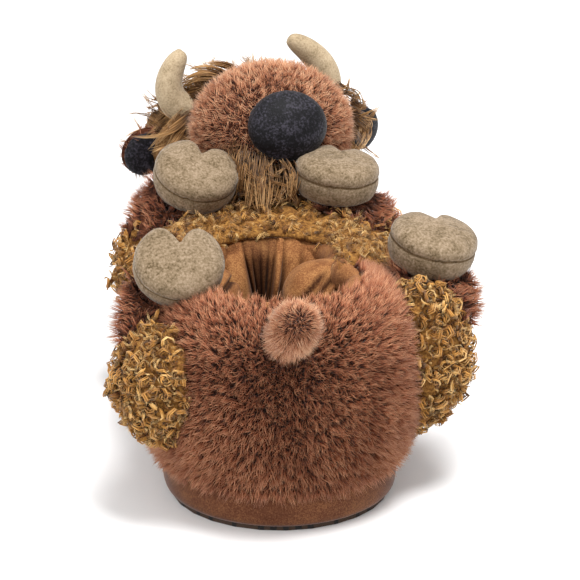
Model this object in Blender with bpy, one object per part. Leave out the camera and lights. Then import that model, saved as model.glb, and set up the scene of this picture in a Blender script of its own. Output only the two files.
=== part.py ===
"""A plush slipper: a highland cow lying on its back, with the foot's opening at its belly.

Metres, +Z up. The toe points along +Y. The origin is on the floor, under the middle of the sole.
"""

import math
import random
from collections import namedtuple

import bmesh
import bpy
import numpy as np
from mathutils import Matrix, Vector

# Clearance between pieces that touch
GAP = 0.0003

# Sole and foot bed
SOLE_LENGTH = 0.272
HEEL_WIDTH = 0.113
BALL_WIDTH = 0.120
WAIST_PINCH = 0.003
OUTSOLE_THICK = 0.0025
OUTSOLE_INSET = 0.003
MIDSOLE_THICK = 0.016
MIDSOLE_ROUND = 0.004
TOE_SPRING = 0.004
INSOLE_THICK = 0.006

# Padded upper, measured to the mean surface of its pile
COLLAR_HEIGHT = 0.111
THROAT_HEIGHT = 0.093
OPENING_LENGTH = 0.127
OPENING_BACK = 0.024
OPENING_WIDTH = 0.074
THROAT_WIDTH = 0.066
SWELL = 0.012
WALL = 0.016
COLLAR_ROLL = 0.0015

# Curly panel over the vamp
WOOL_DEPTH = 0.009
WOOL_EDGE = 0.003
WOOL_RELIEF = 0.0022

# Legs
THIGH_RADIUS = 0.024
THIGH_LENGTH = 0.060
SHANK_RADIUS = 0.0205
SHANK_BOW = 0.006
HOOF_WIDTH = 0.044
HOOF_LENGTH = 0.041
HOOF_THICK = 0.021
HOOF_NOTCH = 0.013

# Head
SKULL_WIDTH = 0.096
SKULL_DEPTH = 0.080
SKULL_HEIGHT = 0.086
CROWN_FLAT = 0.80
HEAD_STAND = 0.040
HEAD_FORWARD = 0.007
HEAD_TURN = math.radians(12)
NOSE_LIFT = math.radians(24)
MUZZLE_WIDTH = 0.086
MUZZLE_DEPTH = 0.076
MUZZLE_HEIGHT = 0.070
NOSE_WIDTH = 0.043
NOSE_HEIGHT = 0.037
NOSE_DEPTH = 0.024
HORN_RADIUS = 0.0085
HORN_LENGTH = 0.036
EAR_LENGTH = 0.034
EAR_WIDTH = 0.030
EAR_THICK = 0.009
EAR_DROOP = math.radians(14)
EAR_SWING_LEFT = math.radians(-8)
EAR_SWING_RIGHT = math.radians(28)
HAIR_LOCK_RADIUS = 0.0100
HAIR_LENGTH = 0.036
BEARD_LOCK_RADIUS = 0.0062
BEARD_LENGTH = 0.034

# Tail
TAIL_RADIUS = 0.0125
TAIL_LENGTH = 0.046
TAIL_RISE = math.radians(36)
TAIL_TURN = math.radians(7)

# Fineness of the meshes
HALF_STEPS = 20
RANDOM_SEED = 7

# How far a sharp corner may move when a cutter is grown, as a multiple of its faces' step
SHARPEST_MITRE = 1.6

# Edges shorter than this are closed up after a cut
SHORTEST_EDGE = 0.00002

SOLE_TOP = OUTSOLE_THICK + GAP + MIDSOLE_THICK
UPPER_BASE = SOLE_TOP + GAP

# The upper in rings, from the sole's edge up to the throat. Rises are shares of the collar's and
# throat's heights, swells of SWELL, runs and closings of the way in to the opening. The last four
# are the lining's way in and down from the outside, as shares of WALL.
Ring = namedtuple(
    "Ring",
    "rear_rise rear_swell rear_close front_rise front_swell front_run front_close"
    " rear_in rear_down front_in front_down",
)
RINGS = (
    Ring(0.00, 0.00, 0.00, 0.00, 0.00, 0.00, 0.00, 1.00, 0.00, 1.00, 0.00),
    Ring(0.15, 0.65, 0.00, 0.15, 0.50, 0.00, 0.00, 1.00, 0.00, 1.00, 0.00),
    Ring(0.42, 1.00, 0.00, 0.38, 0.60, 0.00, 0.00, 1.00, 0.05, 1.00, 0.15),
    Ring(0.69, 0.95, 0.05, 0.61, 0.40, 0.06, 0.05, 0.95, 0.25, 0.70, 0.60),
    Ring(0.87, 0.70, 0.20, 0.80, 0.10, 0.26, 0.45, 0.75, 0.50, 0.25, 0.95),
    Ring(0.99, 0.35, 0.65, 0.95, 0.00, 0.66, 0.80, 0.40, 0.80, 0.10, 1.00),
    Ring(0.98, 0.00, 1.00, 1.00, 0.00, 1.00, 1.00, 0.00, 0.55, 0.00, 0.60),
)
TOP_RING = len(RINGS) - 1

# Each leg: its side, then the middle of its thigh and of its hoof as shares of the ball's half
# width, the sole's half length and the collar's height, the thigh's length as a share of
# THIGH_LENGTH, and the hoof's lean back, lean out and turn in degrees.
Leg = namedtuple(
    "Leg", "name side thigh_x thigh_y thigh_z hoof_x hoof_y hoof_z length lean_back lean_out turn"
)
LEGS = (
    Leg("front_left", -1, 0.90, 0.34, 0.60, 0.60, 0.35, 1.04, 0.95, 26, -10, -12),
    Leg("front_right", 1, 0.90, 0.34, 0.60, 0.61, 0.35, 1.03, 0.95, 6, 4, -14),
    Leg("rear_left", -1, 0.92, -0.80, 0.62, 0.81, -0.63, 1.06, 0.95, 40, -6, 4),
    Leg("rear_right", 1, 1.12, -0.58, 0.61, 1.27, -0.37, 1.01, 1.20, 10, 12, 6),
)

# Rows of head locks: height and first and last bearing from the toe in degrees, how many on
# each side, their length as a share of HAIR_LENGTH, and how far they droop.
HairRow = namedtuple("HairRow", "height first last count length droop")
HAIR_ROWS = (
    HairRow(30, 24, 150, 3, 0.75, 0.85),
    HairRow(12, 14, 84, 3, 1.00, 0.80),
    HairRow(8, 108, 138, 2, 0.90, 0.80),
)

# Horns: the root on the skull as shares of its half width, depth and height, then the middle
# and the tip as shares of HORN_LENGTH out, forward and up from the root.
Horn = namedtuple("Horn", "name side root mid tip")
HORNS = (
    Horn("horn_left", -1, (0.80, -0.10, 0.34), (0.26, 0.00, 0.42), (0.02, 0.00, 0.94)),
    Horn("horn_right", 1, (0.84, 0.06, 0.40), (-0.08, 0.04, 0.46), (-0.56, 0.06, 0.86)),
)

MATERIALS = {
    "brown_fur": ((0.245, 0.098, 0.058, 1.0), 0.95),
    "muzzle_fur": ((0.350, 0.150, 0.085, 1.0), 0.95),
    "golden_wool": ((0.470, 0.275, 0.075, 1.0), 0.90),
    "shaggy_hair": ((0.285, 0.175, 0.075, 1.0), 0.80),
    "khaki_velour": ((0.360, 0.275, 0.185, 1.0), 0.90),
    "black_velour": ((0.012, 0.012, 0.018, 1.0), 0.75),
    "brown_velour": ((0.215, 0.100, 0.038, 1.0), 0.85),
    "dark_grip_cloth": ((0.020, 0.016, 0.014, 1.0), 0.80),
}


def clear_scene():
    for thing in list(bpy.data.objects):
        bpy.data.objects.remove(thing)


def material(name):
    """The named cloth, made once and then shared."""
    found = bpy.data.materials.get(name)
    if found:
        return found
    colour, roughness = MATERIALS[name]
    found = bpy.data.materials.new(name)
    found.use_nodes = True
    shader = found.node_tree.nodes["Principled BSDF"]
    shader.inputs["Base Color"].default_value = colour
    shader.inputs["Roughness"].default_value = roughness
    shader.inputs["Metallic"].default_value = 0.0
    return found


def new_piece(name, points, faces, cloth):
    """An object of these points and faces, in triangles that are turned outwards."""
    mesh = bpy.data.meshes.new(name)
    mesh.from_pydata([tuple(p) for p in points], [], faces)
    work = bmesh.new()
    work.from_mesh(mesh)
    bmesh.ops.recalc_face_normals(work, faces=work.faces)
    bmesh.ops.triangulate(work, faces=work.faces)
    work.to_mesh(mesh)
    work.free()
    mesh.materials.append(material(cloth))
    piece = bpy.data.objects.new(name, mesh)
    bpy.context.scene.collection.objects.link(piece)
    return piece


def shade(piece):
    """Smooth shading, with edges kept where two faces meet steeply."""
    piece.data.shade_smooth()
    piece.data.set_sharp_from_angle(angle=math.radians(50))


def keep_largest(piece):
    """Closes up a cut's shortest edges and drops the crumbs that it left beside the main body.

    The short edges stay where closing them up would open the mesh.
    """
    work = bmesh.new()
    work.from_mesh(piece.data)
    bmesh.ops.dissolve_degenerate(work, dist=SHORTEST_EDGE, edges=work.edges)
    if not all(edge.is_manifold and edge.is_contiguous for edge in work.edges):
        work.clear()
        work.from_mesh(piece.data)
    left = set(work.verts)
    islands = []
    while left:
        island = [left.pop()]
        for point in island:
            for edge in point.link_edges:
                other = edge.other_vert(point)
                if other in left:
                    left.discard(other)
                    island.append(other)
        islands.append(island)
    islands.sort(key=len)
    for island in islands[:-1]:
        bmesh.ops.delete(work, geom=island, context="VERTS")
    work.to_mesh(piece.data)
    work.free()


def combine(piece, tool, operation):
    """Joins the tool on to the piece or cuts it out, and removes the tool.

    The exact solver drops the whole body on some of these dense meshes that nearly touch, so
    the manifold one is used: every piece here is a closed mesh, as it needs.
    """
    step = piece.modifiers.new("combine", "BOOLEAN")
    step.operation = operation
    step.solver = "MANIFOLD"
    step.object = tool
    bpy.context.view_layer.update()
    seen = piece.evaluated_get(bpy.context.evaluated_depsgraph_get())
    mesh = bpy.data.meshes.new_from_object(seen)
    piece.modifiers.clear()
    piece.data = mesh
    bpy.data.objects.remove(tool)


def grown_copy(piece, by):
    """A copy whose faces lie the distance by outside those of the piece."""
    copy = bpy.data.objects.new("grown", piece.data.copy())
    bpy.context.scene.collection.objects.link(copy)
    work = bmesh.new()
    work.from_mesh(copy.data)
    bmesh.ops.triangulate(work, faces=work.faces)
    work.normal_update()
    steps = [p.normal * by * min(p.calc_shell_factor(), SHARPEST_MITRE) for p in work.verts]
    for point, step in zip(work.verts, steps):
        point.co += step
    work.to_mesh(copy.data)
    work.free()
    return copy


def seat(piece, *neighbours):
    """Cuts the piece back so that it lies against each neighbour, a GAP away."""
    for neighbour in neighbours:
        combine(piece, grown_copy(neighbour, GAP), "DIFFERENCE")
    keep_largest(piece)


def grid_faces(rows, columns, wrap_rows, wrap_columns):
    """Four-sided faces between neighbouring points of a grid that is numbered row by row."""
    faces = []
    for row in range(rows if wrap_rows else rows - 1):
        above = (row + 1) % rows
        for column in range(columns if wrap_columns else columns - 1):
            beside = (column + 1) % columns
            faces.append((
                row * columns + column,
                row * columns + beside,
                above * columns + beside,
                above * columns + column,
            ))
    return faces


def tube(name, rings, cloth):
    """A closed solid through rings of points, each end closed to the middle of its ring."""
    sides = len(rings[0])
    points = [p for ring in rings for p in ring]
    faces = grid_faces(len(rings), sides, False, True)
    for ring, first in ((rings[0], 0), (rings[-1], (len(rings) - 1) * sides)):
        points.append(sum(ring, Vector()) / sides)
        middle = len(points) - 1
        for k in range(sides):
            faces.append((first + k, first + (k + 1) % sides, middle))
    return new_piece(name, points, faces, cloth)


def ellipsoid(name, centre, radii, turn, sides, rows, cloth):
    """A rounded solid about a centre, turned by a matrix, with its poles along its third radius."""
    rings = []
    for row in range(1, rows):
        slope = math.pi * row / rows
        ring = []
        for k in range(sides):
            bearing = 2 * math.pi * k / sides
            local = Vector((
                radii[0] * math.sin(slope) * math.cos(bearing),
                radii[1] * math.sin(slope) * math.sin(bearing),
                radii[2] * math.cos(slope),
            ))
            ring.append(centre + turn @ local)
        rings.append(ring)
    piece = tube(name, rings, cloth)
    poles = piece.data.vertices[-2:]
    for pole, way in zip(poles, (1, -1)):
        pole.co = centre + turn @ Vector((0, 0, way * radii[2]))
    return piece


def swept(name, path, radii, sides, cloth):
    """A tapering tube along a path, with a radius for each of its points."""
    rings = []
    reference = Vector((0.31, -0.85, 0.43))
    for k, point in enumerate(path):
        ahead = path[min(k + 1, len(path) - 1)]
        behind = path[max(k - 1, 0)]
        along = (ahead - behind).normalized()
        across = along.cross(reference).normalized()
        over = across.cross(along)
        ring = []
        for side in range(sides):
            bearing = 2 * math.pi * side / sides
            ring.append(point + radii[k] * (across * math.cos(bearing) + over * math.sin(bearing)))
        rings.append(ring)
    return tube(name, rings, cloth)


def mix(first, second, share):
    return first + (second - first) * share


def smooth_share(value):
    value = min(max(value, 0.0), 1.0)
    return value * value * (3 - 2 * value)


def toe_rise(y):
    """How far the sole has sprung up at this place along its length."""
    ball = SOLE_LENGTH / 2 - BALL_WIDTH / 2
    ahead = max(y - ball, 0.0) / (BALL_WIDTH / 2)
    return TOE_SPRING * ahead * ahead


Outline = namedtuple("Outline", "rear_y rear_r rear_z front_y front_r front_z pinch")


def outline_point(outline, around, side):
    """A point of an outline made of a heel arc, a straight side and a toe arc; around runs 0 to 1."""
    rear_middle = outline.rear_y + outline.rear_r
    front_middle = outline.front_y - outline.front_r
    if around < 1 / 3:
        angle = around * 3 * math.pi / 2
        x = outline.rear_r * math.sin(angle)
        y = rear_middle - outline.rear_r * math.cos(angle)
    elif around < 2 / 3:
        share = around * 3 - 1
        x = mix(outline.rear_r, outline.front_r, smooth_share(share))
        x -= outline.pinch * math.sin(math.pi * share) ** 2
        y = mix(rear_middle, front_middle, share)
    else:
        angle = (around * 3 - 2) * math.pi / 2
        x = outline.front_r * math.cos(angle)
        y = front_middle + outline.front_r * math.sin(angle)
    forward = (y - outline.rear_y) / (outline.front_y - outline.rear_y)
    z = mix(outline.rear_z, outline.front_z, smooth_share(forward))
    return Vector((side * x, y, z))


def sole_outline(inset, z):
    half = SOLE_LENGTH / 2 - inset
    return Outline(-half, HEEL_WIDTH / 2 - inset, z, half, BALL_WIDTH / 2 - inset, z, WAIST_PINCH)


def loop_places():
    """Around and side for each point of a full loop, right side first, from the heel."""
    right = [(k / HALF_STEPS, 1) for k in range(HALF_STEPS + 1)]
    left = [(k / HALF_STEPS, -1) for k in range(HALF_STEPS - 1, 0, -1)]
    return right + left


def slab(name, outlines, cloth):
    """A flat solid through stacked outlines that follow the toe's spring, closed by strips."""
    points = []
    for outline in outlines:
        for around, side in loop_places():
            point = outline_point(outline, around, side)
            point.z += toe_rise(point.y)
            points.append(point)
    count = 2 * HALF_STEPS
    faces = grid_faces(len(outlines), count, False, True)
    for first in (0, (len(outlines) - 1) * count):
        faces.append((first, first + 1, first + count - 1))
        for k in range(1, HALF_STEPS - 1):
            faces.append((first + k, first + k + 1, first + count - k - 1, first + count - k))
        faces.append((first + HALF_STEPS - 1, first + HALF_STEPS, first + HALF_STEPS + 1))
    piece = new_piece(name, points, faces, cloth)
    shade(piece)
    return piece


def outsole():
    edge = OUTSOLE_INSET
    return slab(
        "outsole",
        [sole_outline(edge, 0.0), sole_outline(edge, OUTSOLE_THICK)],
        "dark_grip_cloth",
    )


def midsole():
    base = OUTSOLE_THICK + GAP
    rounded = MIDSOLE_ROUND
    return slab(
        "midsole",
        [
            sole_outline(rounded, base),
            sole_outline(rounded * 0.3, base + rounded * 0.3),
            sole_outline(0.0, base + rounded),
            sole_outline(0.0, SOLE_TOP - rounded * 0.5),
            sole_outline(rounded * 0.5, SOLE_TOP),
        ],
        "brown_velour",
    )


def insole():
    bed = upper_level(0.0, 1.0)
    low = bed._replace(
        rear_y=bed.rear_y + GAP, rear_r=bed.rear_r - GAP, rear_z=UPPER_BASE,
        front_y=bed.front_y - GAP, front_r=bed.front_r - GAP, front_z=UPPER_BASE,
    )
    high = low._replace(rear_z=UPPER_BASE + INSOLE_THICK, front_z=UPPER_BASE + INSOLE_THICK)
    return slab("insole", [low, high], "brown_velour")


def ring_at(up):
    """The ring table read at any height, on a smooth curve through its rows."""
    rows = np.array(RINGS)
    low = min(int(up), TOP_RING - 1)
    share = up - low
    before = rows[max(low - 1, 0)]
    after = rows[min(low + 2, TOP_RING)]
    first_slope = (rows[low + 1] - before) / 2
    last_slope = (after - rows[low]) / 2
    squared, cubed = share**2, share**3
    values = (
        rows[low] * (2 * cubed - 3 * squared + 1)
        + first_slope * (cubed - 2 * squared + share)
        + rows[low + 1] * (3 * squared - 2 * cubed)
        + last_slope * (cubed - squared)
    )
    return Ring(*values)


def upper_level(up, lining):
    """The upper's outline at a height, on the outside for lining 0 and on the lining for 1."""
    ring = ring_at(up)
    inward = WALL * lining
    half = SOLE_LENGTH / 2
    rear_out = ring.rear_swell * SWELL - ring.rear_in * inward
    front_out = ring.front_swell * SWELL - ring.front_in * inward
    throat_y = OPENING_BACK + OPENING_LENGTH - half
    return Outline(
        mix(-half, OPENING_BACK - half, ring.rear_close) - rear_out,
        mix(HEEL_WIDTH / 2, OPENING_WIDTH / 2, ring.rear_close) + rear_out,
        mix(UPPER_BASE, COLLAR_HEIGHT, ring.rear_rise) - ring.rear_down * inward,
        mix(half, throat_y, ring.front_run) + front_out,
        mix(BALL_WIDTH / 2, THROAT_WIDTH / 2, ring.front_close) + front_out,
        mix(UPPER_BASE, THROAT_HEIGHT, ring.front_rise) - ring.front_down * inward,
        WAIST_PINCH,
    )


def upper_point(around, up, side, lining=0.0):
    """A point of the upper; the lowest ring follows the sole's spring and the top one doesn't."""
    point = outline_point(upper_level(up, lining), around, side)
    point.z += toe_rise(point.y) * (1 - up / TOP_RING)
    return point


def upper_normal(around, up, side):
    """The way out of the upper at one of its points."""
    step = 0.01
    back, ahead = max(around - step, 0.0), min(around + step, 1.0)
    low, high = max(up - step, 0.0), min(up + step, TOP_RING)
    if around in (0.0, 1.0):
        along = Vector((1.0, 0.0, 0.0)) * (1 if around == 0.0 else -1)
    else:
        along = upper_point(ahead, up, side) - upper_point(back, up, side)
        along *= side
    climb = upper_point(around, high, side) - upper_point(around, low, side)
    return along.cross(climb).normalized()


def upper():
    """The hollow padded body: up the outside, over the collar's roll and down the lining."""
    outside = [(k * TOP_RING / 10, 0.0) for k in range(11)]
    inside = [(k * TOP_RING / 8, 1.0) for k in range(8, -1, -1)]
    places = loop_places()
    points = []
    for up, lining in outside:
        points += [upper_point(around, up, side, lining) for around, side in places]
    for around, side in places:
        edge = upper_point(around, TOP_RING, side, 0.5)
        middle = Vector((0.0, OPENING_BACK + OPENING_LENGTH / 2 - SOLE_LENGTH / 2, edge.z))
        points.append(edge + (middle - edge).normalized() * COLLAR_ROLL)
    for up, lining in inside:
        points += [upper_point(around, up, side, lining) for around, side in places]
    rows = len(outside) + 1 + len(inside)
    piece = new_piece("upper", points, grid_faces(rows, len(places), True, True), "brown_fur")
    shade(piece)
    return piece


def chest_wool(body):
    """The curly panel over the vamp, a raised layer of tufts that follows the upper's surface."""
    columns, rows = 30, 7
    first_around, low_side, low_toe, top = 0.43, 2.60, 4.25, TOP_RING - 0.05
    chance = random.Random(RANDOM_SEED)
    outer, inner = [], []
    for row in range(rows + 1):
        for column in range(columns + 1):
            across = 2 * column / columns - 1
            around = mix(1.0, first_around, abs(across))
            side = 1 if across > 0 else -1
            low = mix(low_side, low_toe, smooth_share((around - 0.66) / 0.34))
            up = mix(low, top, row / rows)
            point = upper_point(around, up, side)
            normal = upper_normal(around, up, side)
            edge = min(row, rows - row, columns - column, column) / 2
            depth = mix(WOOL_EDGE, WOOL_DEPTH, smooth_share(edge))
            tuft = math.cos(math.pi * row) * math.cos(math.pi * column) * chance.uniform(0.3, 1.0)
            outer.append(point + normal * (depth + WOOL_RELIEF * tuft * min(edge, 1.0)))
            inner.append(point - normal * WOOL_EDGE)
    count = columns + 1
    faces = grid_faces(rows + 1, count, False, False)
    shift = len(outer)
    faces += [tuple(k + shift for k in reversed(face)) for face in faces]
    rim = [k for k in range(count)]
    rim += [row * count + columns for row in range(1, rows + 1)]
    rim += [rows * count + k for k in range(columns - 1, -1, -1)]
    rim += [row * count for row in range(rows - 1, 0, -1)]
    for here, there in zip(rim, rim[1:] + rim[:1]):
        faces.append((there, here, here + shift, there + shift))
    piece = new_piece("chest_wool", outer + inner, faces, "golden_wool")
    seat(piece, body)
    shade(piece)
    return piece


def leg_place(across, along, height):
    """A place given as shares of the ball's half width, half the sole and the collar's height."""
    return Vector((across * BALL_WIDTH / 2, along * SOLE_LENGTH / 2, height * COLLAR_HEIGHT))


def thigh(leg, neighbours):
    """A stuffed thigh of curly wool, raised in tufts and flattened where it lies on the body.

    Its whole form, a GAP larger and not yet flattened, comes with it as a cutter for the shank.
    """
    centre = leg_place(leg.side * leg.thigh_x, leg.thigh_y, leg.thigh_z)
    radii = (THIGH_RADIUS, THIGH_RADIUS, leg.length * THIGH_LENGTH / 2)
    sides = 14
    piece = ellipsoid(
        f"thigh_{leg.name}", centre, radii, Matrix.Identity(3), sides, 9, "golden_wool"
    )
    chance = random.Random(RANDOM_SEED + LEGS.index(leg))
    for k, point in enumerate(piece.data.vertices):
        way = (point.co - centre).normalized()
        lift = (1 if (k + k // sides) % 2 else -1) * chance.uniform(0.3, 1.0)
        point.co += way * WOOL_RELIEF * lift
    whole = grown_copy(piece, GAP)
    seat(piece, *neighbours)
    shade(piece)
    return piece, whole


def hoof_frame(leg):
    """The hoof's own axes: across, towards its notch, and out of its flat face."""
    lean = Matrix.Rotation(math.radians(leg.lean_back), 3, "X")
    sideways = Matrix.Rotation(math.radians(leg.lean_out) * leg.side, 3, "Y")
    spin = Matrix.Rotation(math.radians(leg.turn), 3, "Z")
    return sideways @ lean @ spin


def hoof_centre(leg):
    return leg_place(leg.side * leg.hoof_x, leg.hoof_y, leg.hoof_z)


def shank(leg, whole_thigh, neighbours):
    """The short fur cuff from the thigh up into the hoof, and then cut back to its underside."""
    turn = hoof_frame(leg)
    thigh_centre = leg_place(leg.side * leg.thigh_x, leg.thigh_y, leg.thigh_z)
    top = hoof_centre(leg) - turn @ Vector((0, 0, HOOF_THICK * 0.3))
    # Share of the way from the thigh's middle to the hoof, and share of SHANK_RADIUS
    profile = ((0.20, 0.80), (0.45, 1.02), (0.75, 1.05), (0.94, 0.92), (1.00, 0.68))
    sides = 10
    rings = []
    for share, width in profile:
        middle = mix(thigh_centre, top, share)
        middle.x += leg.side * SHANK_BOW * math.sin(math.pi * share)
        ring = []
        for k in range(sides):
            bearing = 2 * math.pi * k / sides
            flat = Vector((math.cos(bearing), math.sin(bearing), 0.0)) * SHANK_RADIUS * width
            ring.append(middle + flat.lerp(turn @ flat, smooth_share(share)))
        rings.append(ring)
    piece = tube(f"shank_{leg.name}", rings, "brown_fur")
    combine(piece, whole_thigh, "DIFFERENCE")
    seat(piece, *neighbours)
    shade(piece)
    return piece


def hoof(leg, neighbours):
    """A stuffed cloven hoof: a flat padded disc with a notch between its two toes."""
    turn = hoof_frame(leg)
    centre = hoof_centre(leg)
    # Height as a share of HOOF_THICK and size as a share of the outline
    profile = ((-0.50, 0.70), (-0.38, 0.95), (0.00, 1.00), (0.34, 0.97), (0.50, 0.74))
    sides = 22
    notch_share = 2 * HOOF_NOTCH / HOOF_LENGTH
    notch_spread = math.radians(16)
    rings = []
    for height, size in profile:
        ring = []
        for k in range(sides):
            share = k / sides
            angle = 2 * math.pi * (share - 0.11 * math.sin(2 * math.pi * share))
            apart = min(angle, 2 * math.pi - angle)
            cut = 1 - notch_share * math.exp(-((apart / notch_spread) ** 2))
            ring.append(centre + turn @ Vector((
                HOOF_WIDTH / 2 * math.sin(angle) * cut * size,
                HOOF_LENGTH / 2 * math.cos(angle) * cut * size,
                HOOF_THICK * height,
            )))
        rings.append(ring)
    piece = tube(f"hoof_{leg.name}", rings, "khaki_velour")
    seat(piece, *neighbours)
    shade(piece)
    return piece


def skull_centre():
    """The head rests on the toe: its middle stands HEAD_STAND over the vamp."""
    rest = upper_point(1.0, 3.6, 1)
    return rest + Vector((-SKULL_WIDTH * 0.02, HEAD_FORWARD, HEAD_STAND))


def muzzle_centre():
    return skull_centre() + Vector((SKULL_WIDTH * 0.075, -SKULL_DEPTH * 0.45, SKULL_HEIGHT * 0.15))


def facing():
    """The way the nose points: back at the wearer, a little up and to the right."""
    return Matrix.Rotation(HEAD_TURN, 3, "Z") @ Matrix.Rotation(-NOSE_LIFT, 3, "X")


def muzzle(neighbours):
    radii = (MUZZLE_WIDTH / 2, MUZZLE_DEPTH / 2, MUZZLE_HEIGHT / 2)
    turn = Matrix.Rotation(HEAD_TURN, 3, "Z")
    piece = ellipsoid("muzzle", muzzle_centre(), radii, turn, 18, 11, "muzzle_fur")
    seat(piece, *neighbours)
    shade(piece)
    return piece


def muzzle_surface(bearing, lift):
    """A point on the muzzle and the way out of it; both angles are zero straight back."""
    radii = Vector((MUZZLE_WIDTH / 2, MUZZLE_DEPTH / 2, MUZZLE_HEIGHT / 2))
    way = Vector((
        math.sin(bearing) * math.cos(lift),
        -math.cos(bearing) * math.cos(lift),
        math.sin(lift),
    ))
    reach = math.sqrt(sum((way[k] * radii[k]) ** 2 for k in range(3)))
    local = Vector([radii[k] ** 2 * way[k] / reach for k in range(3)])
    turn = Matrix.Rotation(HEAD_TURN, 3, "Z")
    return muzzle_centre() + turn @ local, turn @ way


def nose(neighbours):
    """A domed oval of black velour, set on the muzzle where it faces the wearer."""
    seat_point, out = muzzle_surface(0.0, NOSE_LIFT)
    radii = (NOSE_WIDTH / 2, NOSE_DEPTH / 2, NOSE_HEIGHT / 2)
    centre = seat_point - out * NOSE_DEPTH * 0.12
    piece = ellipsoid("nose", centre, radii, facing(), 16, 9, "black_velour")
    seat(piece, *neighbours)
    shade(piece)
    return piece


def lock(name, root, out, length, droop, radius, cloth):
    """One tapering lock of hair that leaves the skin and then falls."""
    down = Vector((0, 0, -1))
    # Share of the length, share of the full droop and share of the radius
    stations = ((0.0, 0.0, 0.9), (0.35, 0.25, 1.0), (0.72, 0.75, 0.62), (1.0, 1.0, 0.12))
    path = [root]
    for before, after in zip(stations, stations[1:]):
        way = out.lerp(down, droop * after[1]).normalized()
        path.append(path[-1] + way * length * (after[0] - before[0]))
    return swept(name, path, [radius * s[2] for s in stations], 5, cloth)


def head_hair(neighbours):
    """The skull, flattened at its crown, with shaggy locks joined on that are combed off the muzzle."""
    centre = skull_centre()
    half = Vector((SKULL_WIDTH / 2, SKULL_DEPTH / 2, SKULL_HEIGHT / 2))
    turn = Matrix.Rotation(HEAD_TURN, 3, "Z")
    piece = ellipsoid("head_hair", centre, half, turn, 12, 8, "shaggy_hair")
    for point in piece.data.vertices:
        if point.co.z > centre.z:
            point.co.z = mix(centre.z, point.co.z, CROWN_FLAT)
    chance = random.Random(RANDOM_SEED)
    for row in HAIR_ROWS:
        for side in (-1, 1):
            for k in range(row.count):
                share = k / (row.count - 1)
                bearing = math.radians(mix(row.first, row.last, share) + chance.uniform(-4, 4))
                height = math.radians(row.height + chance.uniform(-5, 5))
                way = Vector((
                    side * math.sin(bearing) * math.cos(height),
                    math.cos(bearing) * math.cos(height),
                    math.sin(height),
                ))
                root = centre + turn @ Vector([way[axis] * half[axis] * 0.86 for axis in range(3)])
                length = HAIR_LENGTH * row.length * chance.uniform(0.85, 1.1)
                comb = (turn @ way + Vector((0, 0.35, 0))).normalized()
                strand = lock("lock", root, comb, length, row.droop, HAIR_LOCK_RADIUS, "shaggy_hair")
                combine(piece, strand, "UNION")
    seat(piece, *neighbours)
    shade(piece)
    return piece


def beard(neighbours):
    """Long locks on a padded root that hang from under the nose on to the chest."""
    count = 7
    spread = math.radians(50)
    root_lift = math.radians(-16)
    chance = random.Random(RANDOM_SEED)
    roots = [muzzle_surface(mix(-spread, spread, k / (count - 1)), root_lift) for k in range(count)]
    path = [point - out * BEARD_LOCK_RADIUS * 0.4 for point, out in roots]
    piece = swept("beard", path, [BEARD_LOCK_RADIUS * 0.9] * count, 6, "shaggy_hair")
    for point, out in roots:
        length = BEARD_LENGTH * chance.uniform(0.85, 1.1)
        strand = lock("lock", point, out, length, 0.85, BEARD_LOCK_RADIUS, "shaggy_hair")
        combine(piece, strand, "UNION")
    seat(piece, *neighbours)
    shade(piece)
    return piece


def horn(row, neighbours):
    """A stuffed horn that rises from the side of the head and curves in at its blunt tip."""
    centre = skull_centre()
    half = Vector((SKULL_WIDTH / 2, SKULL_DEPTH / 2, SKULL_HEIGHT / 2))
    turn = Matrix.Rotation(HEAD_TURN, 3, "Z")
    root = centre + turn @ Vector((
        row.side * row.root[0] * half.x, row.root[1] * half.y, row.root[2] * half.z,
    ))
    mid = root + turn @ Vector((row.side * row.mid[0], row.mid[1], row.mid[2])) * HORN_LENGTH
    tip = root + turn @ Vector((row.side * row.tip[0], row.tip[1], row.tip[2])) * HORN_LENGTH
    control = mid * 2 - (root + tip) / 2
    # Share of the way along and share of HORN_RADIUS
    profile = ((0.0, 1.05), (0.2, 1.05), (0.4, 1.0), (0.6, 0.9), (0.8, 0.78), (0.93, 0.62), (1.0, 0.34))
    path = [root * (1 - s) ** 2 + control * 2 * s * (1 - s) + tip * s**2 for s, _ in profile]
    piece = swept(row.name, path, [HORN_RADIUS * width for _, width in profile], 10, "khaki_velour")
    seat(piece, *neighbours)
    shade(piece)
    return piece


def ear_frame(side):
    """The ear's axes: along to its tip, out of its broad face, and across its width."""
    droop = Matrix.Rotation(side * EAR_DROOP, 3, "Y")
    swing = Matrix.Rotation(side * (EAR_SWING_RIGHT if side > 0 else EAR_SWING_LEFT), 3, "Z")
    return Matrix.Rotation(HEAD_TURN, 3, "Z") @ swing @ droop


def ear_centre(side):
    half = Vector((SKULL_WIDTH / 2, SKULL_DEPTH / 2, SKULL_HEIGHT / 2))
    turn = Matrix.Rotation(HEAD_TURN, 3, "Z")
    root = skull_centre() + turn @ Vector((side * half.x * 0.96, 0, -half.z * 0.05))
    return root + ear_frame(side) @ Vector((side * EAR_LENGTH * 0.42, 0, 0))


def ear(name, side, neighbours):
    """A leaf-shaped ear of brown fur, its broad face turned back to the wearer."""
    radii = (EAR_LENGTH / 2, EAR_THICK / 2, EAR_WIDTH / 2)
    piece = ellipsoid(name, ear_centre(side), radii, ear_frame(side), 12, 8, "brown_fur")
    seat(piece, *neighbours)
    shade(piece)
    return piece


def ear_lining(name, side, neighbours):
    """The black velour face of the ear, a shallow shield on its back-turned side."""
    radii = (EAR_LENGTH * 0.36, EAR_THICK * 0.36, EAR_WIDTH * 0.40)
    outward = ear_frame(side) @ Vector((side * EAR_LENGTH * 0.06, -EAR_THICK * 0.42, 0))
    piece = ellipsoid(name, ear_centre(side) + outward, radii, ear_frame(side), 12, 6, "black_velour")
    seat(piece, *neighbours)
    shade(piece)
    return piece


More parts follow.
